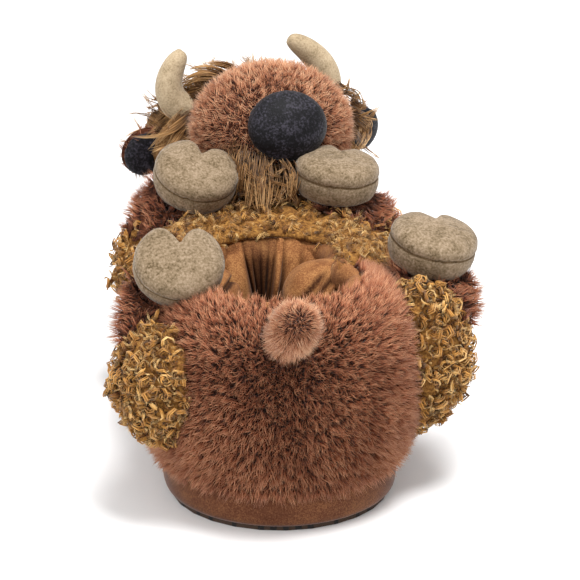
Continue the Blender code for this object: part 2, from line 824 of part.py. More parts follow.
def tail(neighbours):
    """A stuffed fur tail sewn to the back of the collar, pointing back and up."""
    root = upper_point(0.0, 4.05, 1)
    way = Vector((
        math.sin(TAIL_TURN) * math.cos(TAIL_RISE),
        -math.cos(TAIL_TURN) * math.cos(TAIL_RISE),
        math.sin(TAIL_RISE),
    ))
    # Share of TAIL_LENGTH along and share of TAIL_RADIUS
    profile = ((-0.1, 0.86), (0.15, 0.92), (0.42, 1.0), (0.66, 1.0), (0.83, 0.86), (0.95, 0.56), (1.0, 0.2))
    path = [root + way * TAIL_LENGTH * share for share, _ in profile]
    piece = swept("tail", path, [TAIL_RADIUS * width for _, width in profile], 14, "brown_fur")
    seat(piece, *neighbours)
    shade(piece)
    return piece


def build():
    clear_scene()
    outsole()
    midsole()
    insole()
    body = upper()
    wool = chest_wool(body)
    face = muzzle([body, wool])
    snout = nose([face])
    trims = [horn(row, [face]) for row in HORNS]
    for name, side in (("left", -1), ("right", 1)):
        leaf = ear(f"ear_{name}", side, [face])
        trims += [leaf, ear_lining(f"ear_lining_{name}", side, [leaf, face])]
    hair = head_hair([body, wool, face] + trims)
    legs = []
    for leg in LEGS:
        upper_leg, whole = thigh(leg, [body, wool])
        foot = hoof(leg, [body, wool, face, snout, hair, upper_leg])
        cuff = shank(leg, whole, [body, wool, foot, face, hair])
        legs += [upper_leg, cuff, foot]
    beard([body, wool, face, hair, snout] + legs)
    tail([body])


build()
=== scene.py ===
# %% [markdown]
# # A plush slipper in the form of a highland cow
#
# The slipper is sewn from long and short pile cloth over wadding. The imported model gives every
# piece its place and its true form. This lesson adds what the eye reads as cloth: pile, curls,
# shaggy hair, velour, seams and the puffed lining. It starts by loading that model as a fixed
# frame, because each piece of pile grows on one of its solids.

# %% Load the frame
import math
import random
from collections import namedtuple

import bmesh
import bpy
import numpy as np
from mathutils import Matrix, Vector, noise
from mathutils.bvhtree import BVHTree


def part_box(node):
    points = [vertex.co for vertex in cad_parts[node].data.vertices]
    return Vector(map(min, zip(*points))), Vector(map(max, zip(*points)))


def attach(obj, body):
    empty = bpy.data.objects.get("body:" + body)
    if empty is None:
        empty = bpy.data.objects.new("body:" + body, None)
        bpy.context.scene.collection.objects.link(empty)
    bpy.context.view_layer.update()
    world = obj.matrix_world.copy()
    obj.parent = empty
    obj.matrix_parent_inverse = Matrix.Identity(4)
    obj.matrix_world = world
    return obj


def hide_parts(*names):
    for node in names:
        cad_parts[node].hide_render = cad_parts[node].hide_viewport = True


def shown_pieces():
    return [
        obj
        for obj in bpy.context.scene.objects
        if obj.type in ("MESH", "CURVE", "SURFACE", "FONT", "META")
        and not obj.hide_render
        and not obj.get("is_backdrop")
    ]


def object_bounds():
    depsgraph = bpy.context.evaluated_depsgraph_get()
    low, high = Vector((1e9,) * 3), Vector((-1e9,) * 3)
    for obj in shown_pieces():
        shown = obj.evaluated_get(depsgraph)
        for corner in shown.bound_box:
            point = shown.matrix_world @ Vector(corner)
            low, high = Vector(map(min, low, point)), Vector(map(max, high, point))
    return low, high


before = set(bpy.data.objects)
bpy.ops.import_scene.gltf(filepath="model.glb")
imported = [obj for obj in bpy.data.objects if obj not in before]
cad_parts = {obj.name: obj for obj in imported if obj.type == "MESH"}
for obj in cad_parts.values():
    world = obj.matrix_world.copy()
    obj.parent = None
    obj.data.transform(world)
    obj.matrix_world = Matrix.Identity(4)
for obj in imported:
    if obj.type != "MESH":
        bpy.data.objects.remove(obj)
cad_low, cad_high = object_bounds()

MM = 0.001
print("CAD box in mm:", [round(v / MM) for v in cad_low], [round(v / MM) for v in cad_high])

# %% [markdown]
# The camera comes first. It stands 1.8 m behind the heel, a little to the left, and looks
# down by about 21 degrees through a long lens, so that near and far pieces keep almost the same
# scale, as they do in a catalogue photograph.

# %% Camera
AIM = Vector((9.8, 0.0, 71.2)) * MM
DISTANCE = 1.8
CAMERA_SIDE = math.radians(-3.4)
CAMERA_RISE = math.radians(21.3)
back = Vector((
    math.sin(CAMERA_SIDE) * math.cos(CAMERA_RISE),
    -math.cos(CAMERA_SIDE) * math.cos(CAMERA_RISE),
    math.sin(CAMERA_RISE),
))
lens = bpy.data.cameras.new("camera")
lens.lens = 221.4
lens.sensor_width = 36.0
lens.clip_end = 20.0
camera = bpy.data.objects.new("camera", lens)
bpy.context.scene.collection.objects.link(camera)
camera.location = AIM + back * DISTANCE
camera.rotation_euler = (-back).to_track_quat("-Z", "Y").to_euler()
bpy.context.scene.camera = camera
SIGHT_RIGHT = Vector((0.0, 0.0, 1.0)).cross(back).normalized()
SIGHT_UP = back.cross(SIGHT_RIGHT).normalized()
print("camera at", [round(v, 3) for v in camera.location])

# %% [markdown]
# Colours are written as sRGB hex values, as a colour picker shows them. Blender's shaders want
# linear light, so one function turns them. A small function adds a node to any tree: it sets or
# links the inputs that are listed for it. A few more add what the finishes below share, such as
# a noise with patches of a given size, a colour ramp and a shade laid over other colours.

# %% Colour and node helpers
def linear(code):
    """An sRGB hex colour as the linear colour, with alpha, that a shader's socket holds."""
    parts = [int(code[k:k + 2], 16) / 255 for k in (1, 3, 5)]
    light = [p / 12.92 if p <= 0.04045 else ((p + 0.055) / 1.055) ** 2.4 for p in parts]
    return (*light, 1.0)


def plug(tree, node, inputs):
    """Sets each named input, or links it where a socket or a node with a live output is given."""
    for name, value in inputs.items():
        if isinstance(value, bpy.types.Node):
            value = next(output for output in value.outputs if output.enabled)
        if isinstance(value, bpy.types.NodeSocket):
            tree.links.new(value, node.inputs[name])
        else:
            node.inputs[name].default_value = value


def add(tree, kind, inputs=None, **settings):
    """A new node with its settings and its inputs."""
    node = tree.nodes.new(kind)
    for name, value in settings.items():
        setattr(node, name, value)
    plug(tree, node, inputs or {})
    return node


def new_material(name):
    """A new material with its tree and its shader."""
    material = bpy.data.materials.new(name)
    material.use_nodes = True
    return material, material.node_tree, material.node_tree.nodes["Principled BSDF"]


def object_place(tree):
    return add(tree, "ShaderNodeTexCoord").outputs["Object"]


def written(tree, name):
    return add(tree, "ShaderNodeAttribute", attribute_name=name).outputs["Fac"]


def patchy(tree, place, size_mm, detail, **more):
    """A noise with patches of a given size."""
    inputs = {"Vector": place, "Scale": 1.0 / (size_mm * MM), "Detail": detail, **more}
    return add(tree, "ShaderNodeTexNoise", inputs)


def ramp(tree, level, stops):
    """A colour ramp over a level, from pairs of place and hex colour."""
    node = add(tree, "ShaderNodeValToRGB", {"Fac": level})
    elements = node.color_ramp.elements
    while len(elements) < len(stops):
        elements.new(0.5)
    for element, (place, code) in zip(elements, stops):
        element.position = place
        element.color = linear(code)
    return node


def shaded(tree, colours, shade, amount):
    """Colours multiplied by a shade, by an amount from 0 to 1."""
    return add(
        tree, "ShaderNodeMix", {"Factor": amount, "A": colours, "B": linear(shade)},
        data_type="RGBA", blend_type="MULTIPLY",
    )


def smooth_step(low, high, value):
    share = min(max((value - low) / (high - low), 0.0), 1.0)
    return share * share * (3 - 2 * share)


print("white is", linear("#ffffff"))

# %% [markdown]
# Pile cloth is dark at its roots, where light is trapped, and pale at its worn tips. Every
# strand below carries two numbers: how far along it each point is, and a shade of its own. The
# pile finish reads both, so that no two locks match. A slow noise over the whole piece adds the
# patches that brushing leaves.

# %% Pile finish
SHADE_SPREAD = 0.4
CLOTH_IOR = 1.45


def pile_cloth(name, root, middle, tip, dull, patch_mm, roughness, sheen):
    """Polyester pile: matt strands from dark root to pale tip, duller in patches."""
    cloth, tree, shader = new_material(name)
    shift = add(
        tree, "ShaderNodeMath", {0: written(tree, "shade"), 1: SHADE_SPREAD, 2: -SHADE_SPREAD / 2},
        operation="MULTIPLY_ADD",
    )
    level = add(
        tree, "ShaderNodeMath", {0: written(tree, "tip"), 1: shift}, operation="ADD", use_clamp=True
    )
    colours = ramp(tree, level, ((0.0, root), (0.55, middle), (1.0, tip)))
    amount = add(tree, "ShaderNodeMapRange", {
        "Value": patchy(tree, object_place(tree), patch_mm, 3.0),
        "From Min": 0.42, "From Max": 0.68, "To Max": 0.55,
    })
    plug(tree, shader, {
        "Base Color": shaded(tree, colours, dull, amount), "Roughness": roughness,
        "IOR": CLOTH_IOR, "Specular IOR Level": 0.25, "Sheen Weight": sheen, "Sheen Roughness": 0.5,
    })
    return cloth


BROWN_PILE = pile_cloth(
    "brown_polyester_pile", "#5e3520", "#9b5a3c", "#d19a74", "#b79f94", 24, 0.80, 0.10
)
MUZZLE_PILE = pile_cloth(
    "light_brown_polyester_pile", "#7a4830", "#ad7150", "#dcae88", "#c9aa98", 22, 0.80, 0.10
)
WOOL_CURLS = pile_cloth(
    "golden_curled_acrylic_pile", "#7c4f22", "#c08b42", "#f0cb8a", "#cdb391", 18, 0.55, 0.12
)
LONG_HAIR = pile_cloth(
    "olive_brown_long_pile", "#5a3c20", "#a67c4b", "#deb784", "#c0a890", 24, 0.50, 0.10
)
print("pile finishes:", BROWN_PILE.name, MUZZLE_PILE.name, WOOL_CURLS.name, LONG_HAIR.name)

# %% [markdown]
# Velour is a cut pile so short that it reads as a soft grain. Three things make it: a fine
# mottle where the nap lies in different ways, a bump of the same grain, and a sheen at
# grazing angles. The grain on the hooves is about 0.9 mm, and the nose has crushed streaks.
# Where a piece carries an attribute of painted shade, the velour is darker there, as painted
# shade in a fold.

# %% Velour finishes
# The colour of the painted shade laid into creases and folds.
PAINTED_CREASE_SHADE = "#5a4236"


def velour(name, dark, base, light, grain_mm, crush_mm, stretch, bump_mm, roughness, sheen):
    """Short cut pile: fine grain over larger crushed patches, with a soft sheen."""
    cloth, tree, shader = new_material(name)
    place = object_place(tree)
    grain = patchy(tree, place, grain_mm, 3.0, Roughness=0.65)
    laid = add(tree, "ShaderNodeMapping", {"Vector": place, "Scale": stretch})
    crush = patchy(tree, laid, crush_mm, 4.0, Distortion=0.8)
    mixed = add(tree, "ShaderNodeMix", {"Factor": 0.35, "A": grain, "B": crush}, data_type="FLOAT")
    level = add(tree, "ShaderNodeMapRange", {"Value": mixed, "From Min": 0.36, "From Max": 0.64})
    colours = ramp(tree, level, ((0.0, dark), (0.45, base), (1.0, light)))
    relief = {"Height": mixed, "Strength": 0.8, "Distance": bump_mm * MM}
    # Painted shade, from an attribute where a piece carries one, darkens its creases.
    plug(tree, shader, {
        "Base Color": shaded(tree, colours, PAINTED_CREASE_SHADE, written(tree, "crease")),
        "Normal": add(tree, "ShaderNodeBump", relief), "Roughness": roughness, "IOR": CLOTH_IOR,
        "Specular IOR Level": 0.2, "Sheen Weight": sheen, "Sheen Roughness": 0.35,
    })
    return cloth


PLAIN = (1.0, 1.0, 1.0)
KHAKI_VELOUR = velour(
    "khaki_cut_velour", "#54452f", "#7c6a53", "#98856f", 1.1, 6.0, PLAIN, 0.9, 0.9, 0.25
)
HORN_VELOUR = velour(
    "pale_khaki_velour", "#85745a", "#a39074", "#b6a388", 0.9, 7.0, PLAIN, 0.4, 0.9, 0.25
)
# Its crushed nap is real; the pale tone of its streaks is partly painted sheen.
BLACK_VELOUR = velour(
    "crushed_black_velour", "#050407", "#0b0a0e", "#39363f", 1.2, 9.0,
    (1.0, 0.6, 1.6), 0.6, 0.6, 0.1,
)
BAND_VELOUR = velour(
    "tan_brown_sole_velour", "#45230f", "#583320", "#7a5032", 0.7, 22.0,
    (1.0, 1.0, 2.2), 0.25, 0.85, 0.3,
)
LINING_VELOUR = velour(
    "tan_brown_lining_velour", "#5c351b", "#80522f", "#a87949", 0.7, 12.0,
    (1.0, 1.0, 0.5), 0.15, 0.85, 0.05,
)
SKIN_CLOTH = velour(
    "dark_backing_cloth", "#2c150b", "#4a281a", "#6b3f2b", 1.4, 6.0, PLAIN, 0.8, 0.95, 0.0
)
WOOL_BACKING = velour(
    "golden_backing_cloth", "#452a12", "#775026", "#a3773c", 1.4, 4.0, PLAIN, 0.8, 0.95, 0.0
)
HAIR_BACKING = velour(
    "olive_brown_backing_cloth", "#3a2412", "#694a2b", "#95714a", 1.2, 5.0,
    (1.0, 1.0, 0.3), 0.9, 0.9, 0.0,
)
print("velours:", KHAKI_VELOUR.name, BLACK_VELOUR.name, BAND_VELOUR.name, LINING_VELOUR.name)

# %% [markdown]
# Two more finishes are for what the view hardly shows. The tread is a dark cloth with rubber
# dots, which are drawn as a charted grid of small round spots, 6 mm apart. Seams on the hooves
# are a dark crease that the velour is drawn into, so they share its grain; their darker velour
# is painted shade.

# %% Tread and seam finishes
DOT_PITCH_MM = 6.0
WEAVE_MM = 0.8
GRIP_CLOTH, grip_tree, grip_shader = new_material("dark_grip_cloth_with_rubber_dots")
grip_place = object_place(grip_tree)
grip_dots = add(
    grip_tree, "ShaderNodeTexVoronoi",
    {"Vector": grip_place, "Scale": 1.0 / (DOT_PITCH_MM * MM), "Randomness": 0.0},
    voronoi_dimensions="2D",
)
grip_mask = add(
    grip_tree, "ShaderNodeMapRange", {"Value": grip_dots, "From Min": 0.30, "From Max": 0.24}
)
grip_colour = add(
    grip_tree, "ShaderNodeMix",
    {"Factor": grip_mask, "A": linear("#3f2d20"), "B": linear("#14110f")}, data_type="RGBA",
)
grip_height = add(
    grip_tree, "ShaderNodeMath", {0: grip_mask, 1: patchy(grip_tree, grip_place, WEAVE_MM, 2.0)},
    operation="ADD",
)
grip_relief = add(
    grip_tree, "ShaderNodeBump", {"Height": grip_height, "Strength": 0.7, "Distance": 0.4 * MM}
)
plug(grip_tree, grip_shader, {
    "Base Color": grip_colour, "Normal": grip_relief, "Roughness": 0.8, "IOR": 1.5,
})

SEAM_SHADOW = velour(
    "khaki_velour_in_a_seam", "#3e3122", "#5a4832", "#75614a", 0.9, 3.0, PLAIN, 0.5, 0.95, 0.0
)
print("tread and seams:", GRIP_CLOTH.name, SEAM_SHADOW.name)

# %% [markdown]
# Most pieces start as a copy of a CAD node. Its triangles are loose, so they are merged first,
# and pairs of triangles are joined to four-sided faces, which a subdivision then smooths well.

# %% Copies of CAD nodes
MERGE_DISTANCE = 0.01 * MM
JOIN_ANGLE = 0.7


def new_object(name, data, collection=None):
    """A new object in a collection, or else in the scene's own."""
    item = bpy.data.objects.new(name, data)
    if collection is None:
        collection = bpy.context.scene.collection
    collection.objects.link(item)
    return item


def new_mesh(name, points, faces, closed=True):
    """A smooth mesh from points and faces, which are turned outwards where it is closed."""
    mesh = bpy.data.meshes.new(name)
    mesh.from_pydata([tuple(p) for p in points], [], faces)
    if closed:
        work = bmesh.new()
        work.from_mesh(mesh)
        bmesh.ops.recalc_face_normals(work, faces=work.faces)
        work.to_mesh(mesh)
        work.free()
    mesh.shade_smooth()
    return mesh


def piece_from(name, points, faces, cloths, closed=True):
    """A new object at the origin from points and faces."""
    mesh = new_mesh(name, points, faces, closed)
    for cloth in cloths:
        mesh.materials.append(cloth)
    return new_object(name, mesh)


def ring_faces(rows, count, first=0):
    """Four-sided faces between rows of points, where each row is a closed ring."""
    faces = []
    for row in range(rows - 1):
        start = first + row * count
        for k in range(count):
            low, other = start + k, start + (k + 1) % count
            faces.append((low, other, other + count, low + count))
    return faces


def copy_of(node, name, cloth, smooth=0):
    """A merged copy of a CAD node, smoothed by so many levels of subdivision."""
    work = bmesh.new()
    work.from_mesh(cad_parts[node].data)
    bmesh.ops.remove_doubles(work, verts=work.verts, dist=MERGE_DISTANCE)
    bmesh.ops.join_triangles(
        work, faces=work.faces, angle_face_threshold=JOIN_ANGLE, angle_shape_threshold=JOIN_ANGLE
    )
    mesh = bpy.data.meshes.new(name)
    work.to_mesh(mesh)
    work.free()
    mesh.materials.append(cloth)
    piece = new_object(name, mesh)
    if smooth:
        level = piece.modifiers.new("smooth", "SUBSURF")
        level.levels = level.render_levels = smooth
        flatten(piece)
    piece.data.shade_smooth()
    return piece


def flatten(piece):
    """Turns an object's modifiers into its plain mesh."""
    bpy.context.view_layer.update()
    seen = piece.evaluated_get(bpy.context.evaluated_depsgraph_get())
    made = bpy.data.meshes.new_from_object(seen)
    piece.modifiers.clear()
    piece.data = made
    return piece


def sink(piece, depth_mm):
    """Moves a skin in from the CAD surface, by the depth that its pile stands out."""
    places = [v.co - v.normal * depth_mm * MM for v in piece.data.vertices]
    for vertex, place in zip(piece.data.vertices, places):
        vertex.co = place
    piece.data.update()


def settle(piece, *nodes, slot, padded=None):
    """Hands a finished piece to the frame: its body and the nodes it stands for; its slot is not
    used.
    """
    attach(piece, "root")
    if nodes:
        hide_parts(*nodes)
    piece.data.calc_loop_triangles()
    print(f"{piece.name}: {len(piece.data.loop_triangles)} triangles")
    return piece


trees = {
    name: BVHTree.FromPolygons(
        [v.co for v in node.data.vertices], [tuple(p.vertices) for p in node.data.polygons]
    )
    for name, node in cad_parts.items()
}
boxes = {name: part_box(name) for name in trees}
SKEW = Vector((0.31, 0.23, 0.92)).normalized()
RAY_STEP = 1e-6


def inside(tree, point):
    """Whether a ray from the point crosses the closed solid an odd number of times."""
    crossings = 0
    start = point
    while True:
        hit = tree.ray_cast(start, SKEW)[0]
        if hit is None:
            return crossings % 2 == 1
        crossings += 1
        start = hit + SKEW * RAY_STEP


def covered(point, names, margin):
    """Whether a point lies in, or within a margin of, any of the named CAD solids."""
    for name in names:
        low, high = boxes[name]
        if any(not low[k] - margin <= point[k] <= high[k] + margin for k in range(3)):
            continue
        if trees[name].find_nearest(point, margin)[0] is not None or inside(trees[name], point):
            return True
    return False


def middle_of(node):
    low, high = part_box(node)
    return (low + high) / 2


print("nodes:", len(trees))

# %% [markdown]
# A strand is a thin tapering spike with three sides. A tuft is a few strands that share a root
# patch and lean together, and a curl is a strand wound into a ringlet. Each is made once, in a
# few variants, and stands along +Z with its bend towards +X.

# %% Strands, tufts, locks and curls
STRAND_SIDES = 3
TUFT_TONE = 0.16
CURL_TONE = 0.14


def add_strand(parts, path, width, tone=0.0):
    """Adds one closed spike to lists of points, faces and shares of length, shifted by a tone."""
    points, faces, shares = parts
    first = len(points)
    steps = len(path) - 1
    for k, place in enumerate(path[:-1]):
        ahead = (path[k + 1] - path[max(k - 1, 0)]).normalized()
        across = ahead.orthogonal().normalized()
        over = ahead.cross(across)
        share = k / steps
        radius = width / 2 * (1.0 - 0.75 * share ** 1.5)
        for side in range(STRAND_SIDES):
            turn = 2 * math.pi * side / STRAND_SIDES
            points.append(place + (across * math.cos(turn) + over * math.sin(turn)) * radius)
            shares.append(share + tone)
    points.append(path[-1])
    shares.append(1.0 + tone)
    faces.append(tuple(first + side for side in reversed(range(STRAND_SIDES))))
    faces.extend(ring_faces(steps, STRAND_SIDES, first))
    top = first + (steps - 1) * STRAND_SIDES
    tip = len(points) - 1
    for side in range(STRAND_SIDES):
        faces.append((top + side, top + (side + 1) % STRAND_SIDES, tip))


def keep_parts(name, parts, collection=None):
    """Makes a mesh of strands, with the share along each strand kept as the attribute tip."""
    points, faces, shares = parts
    mesh = new_mesh(name, points, faces)
    mesh.attributes.new("tip", "FLOAT", "POINT").data.foreach_set("value", shares)
    return new_object(name, mesh, collection)


def tuft_set(
    name, variants, strands, length_mm, width_mm, root_mm, bend, sway, steps, gather, seed,
):
    """Variants of a tuft: strands that rise from a root patch, bend over and gather at the tip."""
    chance = random.Random(seed)
    collection = bpy.data.collections.new(name)
    for variant in range(variants):
        parts = ([], [], [])
        for _ in range(strands):
            turn = chance.uniform(0, 2 * math.pi)
            out = root_mm * MM * math.sqrt(chance.random())
            root = Vector((math.cos(turn) * out, math.sin(turn) * out, 0.0))
            length = length_mm * MM * chance.uniform(0.75, 1.1)
            lean = bend * chance.uniform(0.7, 1.3)
            drift = chance.uniform(-sway, sway)
            path = []
            for k in range(steps + 1):
                share = k / steps
                close = 1.0 - gather * share
                path.append(Vector((
                    root.x * close + length * lean * share ** 2,
                    root.y * close + length * drift * share ** 2,
                    length * (share - 0.35 * lean * share ** 3),
                )))
            width = width_mm * MM * chance.uniform(0.8, 1.2)
            add_strand(parts, path, width, chance.uniform(-TUFT_TONE, TUFT_TONE))
        keep_parts(f"{name}_{variant}", parts, collection)
    return collection


def curl_set(name, variants, strands, radius_mm, length_mm, turns, width_mm, rope_mm, steps, seed):
    """Variants of a ringlet: a rope of strands wound round an axis that bends over."""
    chance = random.Random(seed)
    collection = bpy.data.collections.new(name)
    for variant in range(variants):
        parts = ([], [], [])
        radius = radius_mm * MM * chance.uniform(0.75, 1.25)
        length = length_mm * MM * chance.uniform(0.7, 1.2)
        wound = turns * chance.uniform(0.8, 1.2) * chance.choice((-1, 1))
        tilt = chance.uniform(0.3, 1.0)
        begin = chance.uniform(0, 2 * math.pi)
        for strand in range(strands):
            wind = 2 * math.pi * strand / strands
            beside = rope_mm * MM * math.sin(wind)
            loop_size = radius + rope_mm * MM * math.cos(wind) * chance.uniform(0.8, 1.2)
            path = []
            for k in range(steps + 1):
                share = k / steps
                turn = begin + 2 * math.pi * wound * share
                loop = loop_size * min(1.0, 0.4 + 1.8 * share)
                local = Vector((
                    loop * (math.cos(turn) - math.cos(begin)),
                    loop * (math.sin(turn) - math.sin(begin)),
                    length * share + beside * (1.0 - 0.5 * share),
                ))
                path.append(Matrix.Rotation(tilt * share, 3, "Y") @ local)
            width = width_mm * MM * chance.uniform(0.85, 1.15)
            add_strand(parts, path, width, chance.uniform(-CURL_TONE, CURL_TONE))
        keep_parts(f"{name}_{variant}", parts, collection)
    return collection


SHORT_TUFTS = tuft_set("short_tufts", 12, 5, 8.0, 0.50, 1.5, 0.04, 0.10, 1, 0.10, 11)
MUZZLE_TUFTS = tuft_set("muzzle_tufts", 12, 6, 6.2, 0.46, 1.7, 0.05, 0.12, 1, 0.05, 12)
LONG_LOCKS = tuft_set("long_locks", 8, 7, 25.0, 0.66, 2.3, 0.22, 0.08, 4, 0.60, 13)
CURLS = curl_set("curls", 16, 5, 2.2, 4.2, 1.30, 0.85, 0.75, 7, 14)
FINE_CURLS = curl_set("fine_curls", 16, 5, 2.2, 3.6, 1.45, 0.46, 0.80, 6, 15)

# %% [markdown]
# One tree of Geometry Nodes sows every kind of pile. It spreads points evenly over a skin,
# turns a tuft along a mix of the skin's normal and the way the pile is combed, varies its size,
# and gives it a shade of its own. The skins carry two attributes for it: reach, its length; and
# thick, which is zero where another piece covers the skin. The third, comb, the way the pile
# lies, is on no skin, so the tufts stand along the normal with a random ruffle.

# %% The sowing tree
SOWING_INPUTS = (
    ("Skin", "Geometry"), ("Tufts", "Collection"), ("Spacing", "Float"), ("Lean", "Float"),
    ("Ruffle", "Float"), ("Smallest", "Float"), ("Largest", "Float"), ("Seed", "Int"),
    ("Cloth", "Material"),
)
MOST_DENSE = 2.0e6
STRAY_SEED, SIZE_SEED, PICK_SEED, TONE_SEED = 3, 5, 7, 9
PICKS = 99


def sowing_tree():
    tree = bpy.data.node_groups.new("sow_pile", "GeometryNodeTree")
    for label, kind in SOWING_INPUTS:
        tree.interface.new_socket(label, in_out="INPUT", socket_type=f"NodeSocket{kind}")
    tree.interface.new_socket("Pile", in_out="OUTPUT", socket_type="NodeSocketGeometry")
    given = add(tree, "NodeGroupInput").outputs

    def groomed(name, kind="FLOAT"):
        return add(tree, "GeometryNodeInputNamedAttribute", {"Name": name}, data_type=kind)

    def vector(operation, inputs):
        return add(tree, "ShaderNodeVectorMath", inputs, operation=operation)

    def drawn(kind, least, most, seed):
        inputs = {"Min": least, "Max": most, "Seed": seed}
        return add(tree, "FunctionNodeRandomValue", inputs, data_type=kind)

    comb = groomed("comb", "FLOAT_VECTOR")
    points = add(
        tree, "GeometryNodeDistributePointsOnFaces",
        {
            "Mesh": given["Skin"], "Distance Min": given["Spacing"], "Density Max": MOST_DENSE,
            "Density Factor": groomed("thick"), "Seed": given["Seed"],
        },
        distribute_method="POISSON",
    )
    upright = add(tree, "ShaderNodeMath", {0: 1.0, 1: given["Lean"]}, operation="SUBTRACT")
    out = vector("SCALE", {"Vector": points.outputs["Normal"], "Scale": upright})
    along = vector("SCALE", {"Vector": comb, "Scale": given["Lean"]})
    stray = drawn("FLOAT_VECTOR", (-1.0, -1.0, -1.0), (1.0, 1.0, 1.0), STRAY_SEED)
    ruffled = vector("SCALE", {"Vector": stray, "Scale": given["Ruffle"]})
    growth = vector("ADD", {0: vector("ADD", {0: out, 1: along}), 1: ruffled})
    bend = vector("ADD", {0: comb, 1: ruffled})
    stood = add(tree, "FunctionNodeAlignRotationToVector", {"Vector": growth}, axis="Z")
    turned = add(
        tree, "FunctionNodeAlignRotationToVector", {"Rotation": stood, "Vector": bend},
        axis="X", pivot_axis="Z",
    )
    size = drawn("FLOAT", given["Smallest"], given["Largest"], SIZE_SEED)
    tufts = add(tree, "GeometryNodeCollectionInfo", {
        "Collection": given["Tufts"], "Separate Children": True, "Reset Children": True,
    })
    sown = add(tree, "GeometryNodeInstanceOnPoints", {
        "Points": points, "Instance": tufts, "Pick Instance": True, "Rotation": turned,
        "Instance Index": drawn("INT", 0, PICKS, PICK_SEED),
        "Scale": add(tree, "ShaderNodeMath", {0: size, 1: groomed("reach")}, operation="MULTIPLY"),
    })
    toned = add(
        tree, "GeometryNodeStoreNamedAttribute",
        {"Geometry": sown, "Name": "shade", "Value": drawn("FLOAT", 0.0, 1.0, TONE_SEED)},
        data_type="FLOAT", domain="INSTANCE",
    )
    real = add(tree, "GeometryNodeRealizeInstances", {"Geometry": toned})
    dyed = add(tree, "GeometryNodeSetMaterial", {"Geometry": real, "Material": given["Cloth"]})
    add(tree, "NodeGroupOutput", {0: dyed})
    return tree


SOWING = sowing_tree()
print("sowing tree nodes:", len(SOWING.nodes))


def ungroom(skin):
    """Takes the grooming attributes off again."""
    for extra in ("reach", "thick"):
        if extra in skin.data.attributes:
            skin.data.attributes.remove(skin.data.attributes[extra])


def sow(name, skin, tufts, cloth, spacing_mm, lean, ruffle, smallest, largest, seed):
    """Sows pile on a skin and returns it as a plain mesh object of its own."""
    piece = new_object(name, skin.data.copy())
    step = piece.modifiers.new("sow", "NODES")
    step.node_group = SOWING
    inputs = {
        "Tufts": tufts, "Spacing": spacing_mm * MM, "Lean": lean, "Ruffle": ruffle,
        "Smallest": smallest, "Largest": largest, "Seed": seed, "Cloth": cloth,
    }
    for socket in SOWING.interface.items_tree:
        if socket.in_out == "INPUT" and socket.name in inputs:
            step[socket.identifier] = inputs[socket.name]
    flatten(piece)
    ungroom(piece)
    piece.data.materials.clear()
    piece.data.materials.append(cloth)
    piece.data.shade_smooth()
    return piece


def groom(skin, reach=None, thick=None):
    """Writes the reach and thick attributes of a skin from functions of place and normal."""
    mesh = skin.data
    for name, measure in (("reach", reach), ("thick", thick)):
        values = [measure(v.co, v.normal) if measure else 1.0 for v in mesh.vertices]
        mesh.attributes.new(name, "FLOAT", "POINT").data.foreach_set("value", values)


def swirl(place, size_mm):
    """A slow, smooth wandering direction, which keeps combed pile from lying like ruled lines."""
    return noise.noise_vector(place / (size_mm * MM))


# %% [markdown]
# The body is one padded form: plush outside, velour lining inside, and wadding between. Empty,
# its lining puffs in from the walls in soft lobes. A short table gives each lobe the bearing of
# its middle round the opening, its half width and its swell. The skin lies a few millimetres
# under the CAD surface, which is the mean surface of the pile.

# %% The upper and its puffed lining
Lobe = namedtuple("Lobe", "bearing half_width swell_mm")
LOBES = (
    Lobe(-52, 19, 5.0), Lobe(56, 24, 5.0), Lobe(-82, 19, 5.0), Lobe(92, 21, 5.0),
    Lobe(-112, 17, 6.0), Lobe(124, 16, 6.0), Lobe(-143, 16, 6.0), Lobe(152, 15, 6.0),
    Lobe(180, 17, 5.0),
)
OPENING_MIDDLE = Vector((0.0, -48.0, 0.0)) * MM
OPENING_STRETCH = 0.58
THROAT_Y = 15.0
ROOF_FALL = 7.0


def bearing_of(place):
    """The bearing round the opening in degrees: zero at the throat, positive on the right."""
    return math.degrees(math.atan2(
        place.x - OPENING_MIDDLE.x, (place.y - OPENING_MIDDLE.y) * OPENING_STRETCH
    ))


def faces_in(place, normal):
    """How far a point of the upper looks inwards: 1 on the lining and 0 outside."""
    foremost = 75 * MM - 100 * MM * smooth_step(60 * MM, 78 * MM, place.z)
    spine = Vector((0.0, min(max(place.y, -85 * MM), foremost), place.z))
    out = place - spine
    out.z = 0.0
    sideways = smooth_step(0.25, -0.35, out.normalized().dot(normal))
    return max(sideways, smooth_step(-0.2, -0.7, normal.z) if place.z > 40 * MM else 0.0)


def lobe_swell(bearing):
    swell = 1.0
    for lobe in LOBES:
        off = abs((bearing - lobe.bearing + 180) % 360 - 180) / lobe.half_width
        if off < 1.0:
            swell = max(swell, lobe.swell_mm * (1.0 - off * off) ** 0.7)
    return swell


def lining_move(place, normal):
    """The way that a point of the lining moves as its wadding swells."""
    forward = place.y / MM - THROAT_Y
    roof = smooth_step(-26.0, 2.0, forward) * smooth_step(62.0, 22.0, forward)
    roof *= smooth_step(52 * MM, 74 * MM, place.z)
    drop = smooth_step(91 * MM, 78 * MM, place.z)
    bulge = Vector((0.0, 1.5 * roof, -drop * ROOF_FALL * roof)) * MM
    wall = smooth_step(34 * MM, 72 * MM, place.z) * smooth_step(111 * MM, 100 * MM, place.z)
    return bulge + normal * lobe_swell(bearing_of(place)) * wall * (1.0 - roof) * MM


